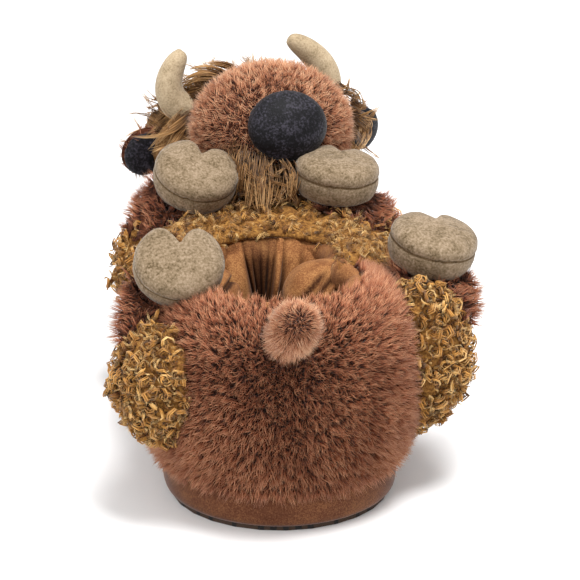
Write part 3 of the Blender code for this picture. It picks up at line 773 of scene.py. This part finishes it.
PILE_SINK = 2.5 * MM
upper_body = copy_of("upper", "upper_body", SKIN_CLOTH, smooth=2)
upper_body.data.materials.append(LINING_VELOUR)
inward = [faces_in(v.co, v.normal) for v in upper_body.data.vertices]
places = []
for vertex, share in zip(upper_body.data.vertices, inward):
    outer = -vertex.normal * PILE_SINK * smooth_step(19 * MM, 30 * MM, vertex.co.z)
    places.append(vertex.co + outer * (1 - share) + lining_move(vertex.co, vertex.normal) * share)
for vertex, place in zip(upper_body.data.vertices, places):
    vertex.co = place
for face in upper_body.data.polygons:
    at_throat = abs(bearing_of(face.center)) < 75 and face.center.y < 22 * MM
    least = 0.1 if at_throat else 0.5
    face.material_index = 1 if max(inward[k] for k in face.vertices) > least else 0
upper_body.data.update()
print("lining points:", sum(1 for s in inward if s > 0.5), "of", len(inward))

# %% [markdown]
# On the slipper the plush lies downwards and parts at the back seam, so that it sweeps to both
# sides under the tail. Here it is sown in two panels, behind and in front of a seam across the
# upper, and stands out from its skin with a little ruffle. It is a little shorter on top of the
# collar and near the sole, and ends in a ragged edge near the sole.

# %% The upper's plush
LEGS = ("front_left", "front_right", "rear_left", "rear_right")
COVERING = ["chest_wool", "muzzle", "head_hair", "tail"]
COVERING += [f"{part}_{leg}" for part in ("thigh", "shank") for leg in LEGS]
PANEL_SEAM = -45.0 * MM
PLUSH_HEM, PLUSH_GAP = 20.5 * MM, 1.2 * MM
PANELS = (("heel_pile", True, 1.06, 21), ("vamp_pile", False, 2.15, 22))


def body_comb(place, normal):
    side = math.tanh(place.x / (14 * MM))
    part = smooth_step(28 * MM, 95 * MM, place.z)
    way = Vector((side * 0.9 * part, 0.25 * part, -1.0))
    return way + swirl(place, 34) * 0.5


def body_reach(place, normal):
    rim = smooth_step(100 * MM, 109 * MM, place.z)
    hem = smooth_step(34 * MM, 22 * MM, place.z)
    return 1.0 - 0.15 * rim - 0.05 * hem


pile_skin = copy_of("upper", "pile_skin", SKIN_CLOTH, smooth=2)
bare = []
for vertex in pile_skin.data.vertices:
    lined = faces_in(vertex.co, vertex.normal) > 0.7 or vertex.co.z < PLUSH_HEM
    bare.append(lined or covered(vertex.co, COVERING, PLUSH_GAP))
for vertex, place in zip(pile_skin.data.vertices, places):
    vertex.co = place
for name, behind, spacing_mm, seed in PANELS:
    groom(pile_skin, body_reach)
    fills = [
        0.0 if hidden or (vertex.co.y < PANEL_SEAM) != behind else 1.0
        for vertex, hidden in zip(pile_skin.data.vertices, bare)
    ]
    pile_skin.data.attributes["thick"].data.foreach_set("value", fills)
    pile = sow(name, pile_skin, SHORT_TUFTS, BROWN_PILE, spacing_mm, 0.83, 0.06, 0.8, 1.15, seed)
    ungroom(pile_skin)
    settle(pile, slot="brown_fur")
bpy.data.objects.remove(pile_skin)
settle(upper_body, "upper", slot="brown_fur", padded=0.7)

# %% [markdown]
# Under the throat the empty lining hangs as a curtain of pleats. The throat is narrow, so the
# pleats crowd together as they fall, and the middle ones lie deep in the dark. Painted shade
# darkens its velour where the pleats stand out little, and more so lower down. A table gives
# each pleat its middle and half width at the top, and how far it stands out. The curtain is a
# closed pad: rows of points run across its pleated face and back along its flat rear side.

# %% The pleated lining under the throat
Pleat = namedtuple("Pleat", "across half_width relief")
PLEATS = (
    Pleat(-31.0, 5.5, 16.0), Pleat(-20.5, 6.5, 18.0), Pleat(-11.6, 2.2, 3.5), Pleat(-7.0, 2.2, 1.5),
    Pleat(-2.4, 2.2, 2.5), Pleat(2.0, 2.0, 3.5), Pleat(5.8, 2.0, 13.0), Pleat(12.6, 5.2, 11.0),
    Pleat(26.0, 9.5, 16.0),
)
TOP_ACROSS = (-36.0, -14.4, 3.8, 36.0)
FOOT_ACROSS = (-33.0, -7.5, -1.0, 34.0)
CURTAIN_TOP, CURTAIN_FOOT = 94.0, 42.0
CURTAIN_FACE, CURTAIN_BACK = 9.5, 24.0
PLEAT_COLUMNS, PLEAT_ROWS = 200, 30


def pleat_relief(across):
    """How far the pleat at a place across the throat stands out, in millimetres."""
    relief = 0.0
    for pleat in PLEATS:
        off = abs(across - pleat.across) / pleat.half_width
        if off < 1.0:
            relief = max(relief, pleat.relief * math.sqrt(1.0 - off * off))
    return relief


def curtain_ring(fall):
    """One closed row of the curtain, at a share of its fall, from its face to its rear side."""
    row = []
    height = CURTAIN_TOP + (CURTAIN_FOOT - CURTAIN_TOP) * fall
    fullness = 0.15 + 0.85 * smooth_step(0.0, 0.4, fall)
    tuck = 7.0 * (1.0 - smooth_step(-0.05, 0.16, fall))
    for k in range(PLEAT_COLUMNS):
        across = TOP_ACROSS[0] + (TOP_ACROSS[-1] - TOP_ACROSS[0]) * k / (PLEAT_COLUMNS - 1)
        foot = float(np.interp(across, TOP_ACROSS, FOOT_ACROSS))
        wander = noise.noise(Vector((across / 9.0, fall * 2.0, 1.7))) * 1.2
        row.append((
            across + (foot - across) * min(1.0, fall * 1.5) + wander * 0.5,
            CURTAIN_FACE + tuck - pleat_relief(across) * fullness + wander,
            height,
        ))
    rear = [(x, CURTAIN_BACK, height) for x in np.linspace(row[-1][0], row[0][0], 12)]
    return [Vector(p) * MM for p in row + rear]


def mark_crease_shade(piece, measure):
    """Writes an attribute of painted shade from a function of place, for the velour to read."""
    marks = piece.data.attributes.new("crease", "FLOAT", "POINT")
    marks.data.foreach_set("value", [measure(v.co) for v in piece.data.vertices])


# Painted shade on the curtain: darker where a pleat stands out little, and darker lower down.
def curtain_crease_shade(place):
    fall = (CURTAIN_TOP - place.z / MM) / (CURTAIN_TOP - CURTAIN_FOOT)
    gather = min(1.0, fall * 1.5)
    pairs = [(top + (foot - top) * gather, top) for top, foot in zip(TOP_ACROSS, FOOT_ACROSS)]
    across = float(np.interp(place.x / MM, *zip(*pairs)))
    return (1.0 - min(1.0, pleat_relief(across) / 10.0)) * (0.5 + 0.5 * smooth_step(0.0, 0.3, fall))


def closed_stack(name, rings, cloth):
    """A closed mesh through rings of points, with a fan over each end."""
    points = [p for ring in rings for p in ring]
    count = len(rings[0])
    faces = ring_faces(len(rings), count)
    for ring, first in ((rings[0], 0), (rings[-1], (len(rings) - 1) * count)):
        hub = len(points)
        points.append(sum(ring, Vector()) / count)
        faces.extend((first + k, first + (k + 1) % count, hub) for k in range(count))
    return piece_from(name, points, faces, [cloth])


curtain = closed_stack(
    "throat_lining", [curtain_ring(k / PLEAT_ROWS) for k in range(PLEAT_ROWS + 1)], LINING_VELOUR
)
mark_crease_shade(curtain, curtain_crease_shade)
settle(curtain, slot="brown_velour", padded=0.5)

# %% [markdown]
# On each side the wadding pushes the lining into the opening as one large pillow. It is a
# rounded form that starts inside the wall. On the right the loose velour also falls into three
# short creases, which run up and outwards over the pillow. In each crease painted shade darkens
# the velour, as deep as the crease is.

# %% The lining's two pillows
Pillow = namedtuple("Pillow", "name middle half_sizes creases")
PILLOWS = (
    Pillow("right", (34.0, -38.0, 84.0), (31.0, 27.0, 17.0), (5.2, 9.6, 15.0)),
    Pillow("left", (-35.0, -36.0, 84.0), (18.0, 27.0, 14.0), (-26.0,)),
)
CREASE_SLANT = math.radians(40)
CREASE_WIDTH, CREASE_DEPTH = 1.6, 4.0
PILLOW_SIDES, PILLOW_RINGS = 110, 70


def crease_depth(place, creases):
    """How deep the creases are, in millimetres, at a place taken from the camera's aim."""
    rise = place.dot(SIGHT_UP) / MM
    side = place.x / MM * math.cos(CREASE_SLANT) - rise * math.sin(CREASE_SLANT)
    depth = CREASE_DEPTH * smooth_step(12.0, 4.0, rise)
    return sum(depth * math.exp(-(((side - middle) / CREASE_WIDTH) ** 2)) for middle in creases)


def make_pillow(pillow):
    middle = Vector(pillow.middle) * MM
    half = Vector(pillow.half_sizes) * MM
    rings = []
    for row in range(1, PILLOW_RINGS):
        polar = math.pi * row / PILLOW_RINGS
        ring = []
        for k in range(PILLOW_SIDES):
            turn = 2 * math.pi * k / PILLOW_SIDES
            way = Vector((
                math.sin(polar) * math.cos(turn), math.cos(polar), math.sin(polar) * math.sin(turn)
            ))
            place = middle + Vector((way.x * half.x, way.y * half.y, way.z * half.z))
            lump = noise.noise(place / (11 * MM)) * 1.3
            ring.append(place + way * (lump - crease_depth(place - AIM, pillow.creases)) * MM)
        rings.append(ring)
    piece = closed_stack(f"{pillow.name}_lining_pillow", rings, LINING_VELOUR)
    # Painted shade in the creases, as deep as they are.
    mark_crease_shade(
        piece, lambda place: min(1.0, crease_depth(place - AIM, pillow.creases) / CREASE_DEPTH)
    )
    return settle(piece, slot="brown_velour", padded=0.7)


for pillow in PILLOWS:
    make_pillow(pillow)

# %% [markdown]
# The curly panel over the vamp and the four thighs are cut from one cloth, a knitted back with
# ringlets. The skin below is nearly hidden, so the copy of the CAD solid serves as it is, and
# the ringlets stand on its raised tufts.

# %% Curly wool
FAR_WOOL = 38 * MM
FAR_FULLNESS = 0.42


def dress(
    node, name, added, backing, cloth, slot, tufts, comb, spacing_mm, lean, ruffle, sizes, seed,
    hidden_by, clear_mm=1.0, fullness=None, reach=None, sunk_mm=0.0, smooth=0, padded=None,
):
    """Grows pile on a copy of a node, save where other pieces hide it, and settles both."""
    skin = copy_of(node, name, backing, smooth)
    sink(skin, sunk_mm)

    def thick(place, normal):
        if covered(place, hidden_by, clear_mm * MM):
            return 0.0
        return fullness(place) if fullness else 1.0

    groom(skin, reach, thick)
    pile = sow(f"{name}_{added}", skin, tufts, cloth, spacing_mm, lean, ruffle, *sizes, seed)
    ungroom(skin)
    settle(skin, node, slot=slot, padded=padded)
    settle(pile, slot=slot)


def wool_comb(place, normal):
    return Vector((0.0, -0.3, -1.0)) + swirl(place, 8) * 2.2


def wool_fullness(place):
    return FAR_FULLNESS if place.y > FAR_WOOL else 1.0


def woolly(node, name, tufts, spacing_mm, seed, hidden_by, padded=None):
    dress(
        node, name, "curls", WOOL_BACKING, WOOL_CURLS, "golden_wool", tufts, wool_comb, spacing_mm,
        lean=0.55, ruffle=0.35, sizes=(0.75, 1.2), seed=seed, hidden_by=hidden_by,
        fullness=wool_fullness, padded=padded,
    )


woolly("chest_wool", "vamp_wool", FINE_CURLS, 3.86, 31, ["upper", "muzzle", "head_hair"])
woolly("thigh_rear_left", "rear_left_thigh", CURLS, 2.7, 32, ["upper", "shank_rear_left"], 0.8)
woolly("thigh_rear_right", "rear_right_thigh", CURLS, 2.75, 33, ["upper", "shank_rear_right"], 0.8)
woolly("thigh_front_left", "front_left_thigh", CURLS, 3.2, 34, ["upper", "chest_wool"], 0.8)
woolly("thigh_front_right", "front_right_thigh", CURLS, 3.2, 35, ["upper", "chest_wool"], 0.8)

# %% [markdown]
# Short plush covers the muzzle, the shanks, the ears and the tail. A comb is given for each: the
# muzzle away from the nose, the shanks down from the hoof, and the tail from its tip back to its
# root, the way the small rosette at its end lies. No skin carries these combs, so the plush
# stands out from its skin with a little ruffle.

# %% Short plush on the muzzle, shanks and tail
NOSE_MIDDLE = middle_of("nose")


def plushy(node, name, slot, tufts, cloth, comb, spacing_mm, lean, seed, hidden_by, **more):
    """Short plush on a node. Its skin lies as deep as the pile stands out."""
    settings = {"sunk_mm": 2.0, "clear_mm": 0.8, "padded": 0.8, **more}
    dress(
        node, name, "pile", SKIN_CLOTH, cloth, slot, tufts, comb, spacing_mm, lean,
        ruffle=0.12, sizes=(0.8, 1.15), seed=seed, hidden_by=hidden_by, **settings,
    )


def muzzle_comb(place, normal):
    return (place - NOSE_MIDDLE).normalized() + swirl(place, 16) * 0.5 + Vector((0, 0, -0.15))


def shank_comb(place, normal):
    return Vector((0.0, 0.0, -1.0)) + swirl(place, 14) * 0.6


TAIL_LOW, TAIL_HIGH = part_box("tail")
TAIL_WAY = Vector((
    TAIL_HIGH.x * 0.4, TAIL_LOW.y - TAIL_HIGH.y, TAIL_HIGH.z - TAIL_LOW.z
)).normalized()


def tail_comb(place, normal):
    return -TAIL_WAY + swirl(place, 12) * 0.25


plushy(
    "muzzle", "muzzle_plush", "muzzle_fur", MUZZLE_TUFTS, MUZZLE_PILE, muzzle_comb, 1.42, 0.79, 41,
    ["nose", "head_hair", "chest_wool", "beard"], sunk_mm=3.0,
)
for k, leg in enumerate(LEGS):
    plushy(
        f"shank_{leg}", f"{leg}_shank", "brown_fur", SHORT_TUFTS, BROWN_PILE, shank_comb,
        1.6, 0.62, 42 + k, [f"hoof_{leg}", f"thigh_{leg}", "upper"],
    )
plushy(
    "tail", "tail_plush", "brown_fur", MUZZLE_TUFTS, MUZZLE_PILE, tail_comb, 1.15, 0.74, 47,
    ["upper"], sunk_mm=4.6,
)

# %% [markdown]
# The head's long pile is sown as locks that bend over as they grow, longer down the sides than
# on the crown. The beard is the same cloth, sewn under the nose. Their combs, back from the
# muzzle and straight down on the chest, are on no skin, so each lock bends a random way.

# %% Shaggy head and beard
MUZZLE_MIDDLE = middle_of("muzzle")


def hair_comb(place, normal):
    side = math.tanh((place.x - MUZZLE_MIDDLE.x) / (12 * MM))
    high = smooth_step(112 * MM, 140 * MM, place.z)
    return Vector((side, 0.25 + 0.2 * high, -0.9 + 0.8 * high)) + swirl(place, 24) * 0.25


def beard_comb(place, normal):
    spread = (place.x - NOSE_MIDDLE.x) / (40 * MM)
    return Vector((spread, -0.15, -1.0)) + swirl(place, 14) * 0.18


def hair_reach(place, normal):
    """Hair is short on the crown and long where it hangs down the sides."""
    return 1.15 - 0.45 * smooth_step(130 * MM, 146 * MM, place.z)


def shaggy(node, name, spacing_mm, lean, sizes, seed, comb, hidden_by, **more):
    dress(
        node, name, "locks", HAIR_BACKING, LONG_HAIR, "shaggy_hair", LONG_LOCKS, comb, spacing_mm,
        lean, ruffle=0.06, sizes=sizes, seed=seed, hidden_by=hidden_by, **more,
    )


shaggy(
    "head_hair", "head_shag", 4.7, 0.88, (0.35, 0.62), 51, hair_comb,
    ["muzzle", "upper", "chest_wool"], reach=hair_reach, sunk_mm=3.0, padded=0.8,
)
shaggy(
    "beard", "beard_shag", 2.8, 0.93, (0.4, 0.7), 52, beard_comb, ["muzzle", "nose"], sunk_mm=2.0,
)

# %% [markdown]
# Over that undercoat fall the long locks that the eye follows. Each is laid with three marks,
# given in the camera's frame of 580 by 580 pixels: its root, its middle and its tip. A ray
# through each mark finds the solid under it, so that the lock lies on the head, and where the
# ray passes beside the head the lock hangs at the depth of the mark before it.

# %% Draped locks
FRAME = 580
FOCAL = lens.lens / lens.sensor_width * FRAME
NEAR_DEPTH = 30 * MM
LIFT = 2.0 * MM
LOCK_STEPS = 8
MEAN_SHADE = 0.5
Drape = namedtuple("Drape", "root middle tip spread_mm")
HAIR_DRAPES = (
    Drape((234, 70), (219, 65), (205, 64), 1.5), Drape((224, 74), (208, 68), (190, 70), 2.0),
    Drape((218, 78), (196, 76), (174, 90), 2.5), Drape((210, 82), (188, 86), (166, 104), 2.5),
    Drape((203, 88), (182, 96), (158, 112), 2.5), Drape((197, 96), (178, 106), (156, 124), 2.5),
    Drape((193, 104), (174, 116), (150, 134), 2.5), Drape((190, 112), (172, 126), (150, 148), 2.5),
    Drape((188, 118), (166, 134), (134, 137), 1.0), Drape((187, 124), (174, 142), (164, 154), 2.5),
    Drape((188, 134), (180, 146), (172, 156), 2.0), Drape((206, 86), (192, 100), (176, 128), 2.5),
    Drape((338, 84), (346, 88), (349, 78), 1.5), Drape((344, 92), (356, 98), (358, 112), 2.0),
    Drape((350, 102), (362, 108), (362, 97), 1.5), Drape((353, 112), (366, 120), (364, 134), 2.0),
    Drape((355, 120), (366, 134), (358, 150), 2.5), Drape((354, 132), (360, 144), (352, 154), 2.0),
)
BEARD_DRAPES = (
    Drape((234, 146), (226, 168), (216, 188), 4.0), Drape((240, 150), (234, 176), (226, 198), 4.0),
    Drape((247, 155), (241, 180), (240, 204), 4.0), Drape((254, 158), (253, 186), (247, 210), 4.0),
    Drape((262, 161), (259, 188), (262, 212), 4.0), Drape((270, 164), (273, 188), (268, 208), 4.0),
    Drape((279, 166), (280, 184), (284, 204), 4.0), Drape((288, 166), (293, 180), (290, 198), 4.0),
    Drape((297, 165), (302, 176), (306, 188), 3.5),
)


def mark_on(mark, solids, depth_y):
    """The place where the sight line through a mark meets a solid near a depth, or that depth."""
    way = -back * FOCAL + SIGHT_RIGHT * (mark[0] - FRAME / 2) + SIGHT_UP * (FRAME / 2 - mark[1])
    way.normalize()
    hits = [trees[name].ray_cast(camera.location, way)[0] for name in solids]
    hits = [hit for hit in hits if hit is not None and abs(hit.y - depth_y) < NEAR_DEPTH]
    if hits:
        return min(hits, key=lambda hit: (hit - camera.location).length)
    return camera.location + way * ((depth_y - camera.location.y) / way.y)


def drape_locks(name, drapes, solids, strands, start_y, seed):
    """Long strands in one mesh, each along a curve through the three marks of its drape."""
    chance = random.Random(seed)
    parts = ([], [], [])
    for drape in drapes:
        marks = []
        depth_y = start_y
        for mark in (drape.root, drape.middle, drape.tip):
            marks.append(mark_on(mark, solids, depth_y) + back * LIFT)
            depth_y = marks[-1].y
        for _ in range(strands):
            aside = chance.gauss(0.0, 0.6) * drape.spread_mm * MM
            lift = chance.gauss(0.0, 0.6) * drape.spread_mm * MM
            near = chance.uniform(-1.5, 2.0) * MM
            wave = SIGHT_RIGHT * chance.uniform(-2.5, 2.5) * MM
            shift = SIGHT_RIGHT * aside + SIGHT_UP * lift + back * near
            root, middle, tip = (mark + shift * part for mark, part in zip(marks, (1.0, 0.9, 0.45)))
            reach = chance.uniform(0.6, 1.1)
            bow = 2 * middle - (root + tip) / 2 + wave
            path = []
            for k in range(LOCK_STEPS + 1):
                share = reach * k / LOCK_STEPS
                left = 1 - share
                path.append(root * left ** 2 + bow * 2 * share * left + tip * share ** 2)
            add_strand(parts, path, chance.uniform(0.45, 0.7) * MM, chance.uniform(-0.25, 0.2))
    piece = keep_parts(name, parts)
    shade = piece.data.attributes.new("shade", "FLOAT", "POINT")
    shade.data.foreach_set("value", [MEAN_SHADE] * len(piece.data.vertices))
    piece.data.materials.append(LONG_HAIR)
    return settle(piece, slot="shaggy_hair")


HEAD_SOLIDS = ("head_hair", "ear_left", "ear_right", "ear_lining_left", "ear_lining_right")
BEARD_SOLIDS = ("beard", "muzzle", "chest_wool")
drape_locks("draped_hair", HAIR_DRAPES, HEAD_SOLIDS, 26, middle_of("ear_left").y, 71)
drape_locks("draped_beard", BEARD_DRAPES, BEARD_SOLIDS, 30, middle_of("beard").y, 72)

# %% [markdown]
# Each hoof is a stuffed disc of velour: a top face with a deep notch, sewn to a strip that runs
# round its side. The seam between them is drawn in by its thread, and the strip is closed by
# one upright seam at the heel of the hoof. Rings around the outline make it, each a share of
# the full outline, so the seam is just a ring that lies a little deeper.

# %% Hooves
Hoof = namedtuple("Hoof", "name place lean_back lean_out turn side")
HOOVES = (
    Hoof("front_left", (-36.0, 47.6, 115.4), 26, -10, -12, -1),
    Hoof("front_right", (36.6, 47.6, 114.3), 6, 4, -14, 1),
    Hoof("rear_left", (-48.6, -85.7, 117.7), 40, -6, 4, -1),
    Hoof("rear_right", (76.2, -50.3, 112.1), 10, 12, 6, 1),
)
HOOF_WIDTH, HOOF_LENGTH, HOOF_THICK, HOOF_NOTCH = 44 * MM, 41 * MM, 21 * MM, 13 * MM
HOOF_SIDES = 120
# Height as a share of the thickness, and size as a share of the outline
HOOF_RINGS = (
    (-0.50, 0.10), (-0.50, 0.40), (-0.49, 0.62), (-0.45, 0.78), (-0.36, 0.90), (-0.20, 0.965),
    (-0.06, 0.99), (0.06, 0.985), (0.12, 0.975), (0.15, 0.955), (0.18, 0.975), (0.24, 0.99),
    (0.34, 0.97), (0.44, 0.90), (0.52, 0.76), (0.57, 0.55), (0.60, 0.30), (0.605, 0.10),
)
SEAM_RING = HOOF_RINGS.index((0.15, 0.955))
NOTCH_WIDTH = math.radians(16)
HEEL_SEAM_WIDTH, HEEL_SEAM_DEPTH = 0.045, 0.05
LUMP_SIZE, LUMP_HEIGHT = 9 * MM, 0.7 * MM


def hoof_outline(angle, size):
    apart = min(angle, 2 * math.pi - angle)
    notch = 2 * HOOF_NOTCH / HOOF_LENGTH * math.exp(-((apart / NOTCH_WIDTH) ** 2))
    cut = 1 - notch * min(1.0, size * 1.15)
    return (
        HOOF_WIDTH / 2 * math.sin(angle) * cut * size,
        HOOF_LENGTH / 2 * math.cos(angle) * cut * size,
    )


def make_hoof(hoof):
    turn = (
        Matrix.Rotation(math.radians(hoof.lean_out) * hoof.side, 3, "Y")
        @ Matrix.Rotation(math.radians(hoof.lean_back), 3, "X")
        @ Matrix.Rotation(math.radians(hoof.turn), 3, "Z")
    )
    middle = Vector(hoof.place) * MM
    points = []
    for height, size in HOOF_RINGS:
        for k in range(HOOF_SIDES):
            share = k / HOOF_SIDES
            angle = 2 * math.pi * (share - 0.10 * math.sin(2 * math.pi * share))
            x, y = hoof_outline(angle, size)
            heel = math.exp(-((abs(angle - math.pi) / HEEL_SEAM_WIDTH) ** 2))
            drawn_in = 1 - HEEL_SEAM_DEPTH * heel * smooth_step(0.26, 0.16, height)
            x, y = x * drawn_in, y * drawn_in
            there = Vector((x, y, height * 0.01)) / LUMP_SIZE + Vector(hoof.place)
            lump = noise.noise(there) * LUMP_HEIGHT
            points.append(middle + turn @ Vector((x, y, HOOF_THICK * height + lump)))
    faces = ring_faces(len(HOOF_RINGS), HOOF_SIDES)
    faces.append(tuple(reversed(range(HOOF_SIDES))))
    last = (len(HOOF_RINGS) - 1) * HOOF_SIDES
    faces.append(tuple(range(last, last + HOOF_SIDES)))
    piece = piece_from(f"{hoof.name}_hoof", points, faces, [KHAKI_VELOUR, SEAM_SHADOW])
    # The faces of the seam take the darker velour, as painted shade in the seam.
    for row in (SEAM_RING - 1, SEAM_RING):
        for k in range(HOOF_SIDES):
            piece.data.polygons[row * HOOF_SIDES + k].material_index = 1
    return settle(piece, f"hoof_{hoof.name}", slot="khaki_velour", padded=0.85)


for hoof in HOOVES:
    make_hoof(hoof)

# %% [markdown]
# The horns are stuffed tubes of the same velour. The CAD sweep already has their curve, so a
# smoothed copy is enough.

# %% Horns
for side in ("left", "right"):
    horn = copy_of(f"horn_{side}", f"{side}_horn", HORN_VELOUR, smooth=2)
    settle(horn, f"horn_{side}", slot="khaki_velour", padded=0.9)

# %% [markdown]
# The nose is a domed oval of crushed black velour, drawn tight over its wadding by the seam
# round its rim.

# %% Nose
nose = copy_of("nose", "nose_velour", BLACK_VELOUR, smooth=2)
settle(nose, "nose", slot="black_velour", padded=0.9)

# %% [markdown]
# Each ear is a leaf of short plush with a black velour face. The face is a smoothed copy of the
# CAD lining, so it takes its middle and its axes from it.

# %% Ears
def ear_comb(place, normal):
    """Away from the middle of the nearer ear's face, with a slow swirl."""
    side = "right" if place.x > 0 else "left"
    return (place - middle_of(f"ear_lining_{side}")).normalized() + swirl(place, 10) * 0.3


for k, side in enumerate(("left", "right")):
    plushy(
        f"ear_{side}", f"{side}_ear", "brown_fur", MUZZLE_TUFTS, MUZZLE_PILE, ear_comb, 1.7, 0.60,
        61 + k, [f"ear_lining_{side}"], smooth=1, clear_mm=2.8,
    )
    face = copy_of(f"ear_lining_{side}", f"{side}_ear_face", BLACK_VELOUR, smooth=1)
    settle(face, f"ear_lining_{side}", slot="black_velour", padded=0.5)

# %% [markdown]
# The sole band is foam wrapped in tan velour. It bulges a little between its two seams, and under
# it the tread and the foot bed keep sharp edges.

# %% Sole
BAND_BULGE_MM = 1.2
EDGE_ANGLE = math.radians(40)
band = copy_of("midsole", "sole_band", BAND_VELOUR, smooth=2)
sink(band, -BAND_BULGE_MM)
settle(band, "midsole", slot="brown_velour", padded=0.8)
tread = copy_of("outsole", "sole_tread", GRIP_CLOTH)
tread.data.set_sharp_from_angle(angle=EDGE_ANGLE)
settle(tread, "outsole", slot="dark_grip_cloth")
bed = copy_of("insole", "foot_bed", LINING_VELOUR)
bed.data.set_sharp_from_angle(angle=EDGE_ANGLE)
settle(bed, "insole", slot="brown_velour")

# %% [markdown]
# The floor is plain and white, and the light is soft: a pale sky all round, one wide lamp above
# on the right, and a weaker one on the left. The sky is bright enough that the floor loses its
# edge against it.

# %% Floor and light
floor_material, floor_tree, floor_shader = new_material("white_studio_floor")
floor_noise = patchy(floor_tree, object_place(floor_tree), 250.0, 2.0)
plug(floor_tree, floor_shader, {
    "Base Color": ramp(floor_tree, floor_noise, ((0.0, "#f6f6f6"), (1.0, "#fafafa"))),
    "Roughness": 0.6, "Specular IOR Level": 0.2,
})
FLOOR_SIDE, FLOOR_DEPTH = 6.0, 18.0
corners = (
    (-FLOOR_SIDE, -FLOOR_SIDE, 0), (FLOOR_SIDE, -FLOOR_SIDE, 0),
    (FLOOR_SIDE, FLOOR_DEPTH, 0), (-FLOOR_SIDE, FLOOR_DEPTH, 0),
)
floor = piece_from("floor", corners, [(0, 1, 2, 3)], [floor_material], closed=False)
floor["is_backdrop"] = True

sky = bpy.data.worlds.new("studio")
bpy.context.scene.world = sky
sky.use_nodes = True
plug(
    sky.node_tree, sky.node_tree.nodes["Background"],
    {"Color": linear("#ffffff"), "Strength": 0.85},
)


def lamp(name, place, aim, size, watts):
    light = bpy.data.lights.new(name, "AREA")
    light.size = size
    light.energy = watts
    holder = new_object(name, light)
    holder.location = place
    holder.rotation_euler = (Vector(aim) - Vector(place)).to_track_quat("-Z", "Y").to_euler()


LAMP_AIM = (0.0, 0.0, 0.07)
lamp("key_lamp", (0.25, -0.35, 1.7), LAMP_AIM, 0.7, 36.0)
lamp("fill_lamp", (-0.9, -1.0, 0.9), LAMP_AIM, 1.0, 7.0)
bpy.context.scene.view_settings.view_transform = "Standard"

# %% [markdown]
# Last, the part's size is printed as the CAD has it and as it is dressed, with the count of
# triangles in all.

# %% Sizes and finish
low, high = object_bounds()
allowed = [0.03 * (b - a) + 10 * MM for a, b in zip(cad_low, cad_high)]
below = [round((a - b) / MM, 1) for a, b in zip(cad_low, low)]
above = [round((b - a) / MM, 1) for a, b in zip(cad_high, high)]
print("stands out, mm:", below, above, "allowed", [round(v / MM, 1) for v in allowed])
total = sum(len(p.data.loop_triangles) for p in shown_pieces() if p.type == "MESH")
print("triangles in all:", total)
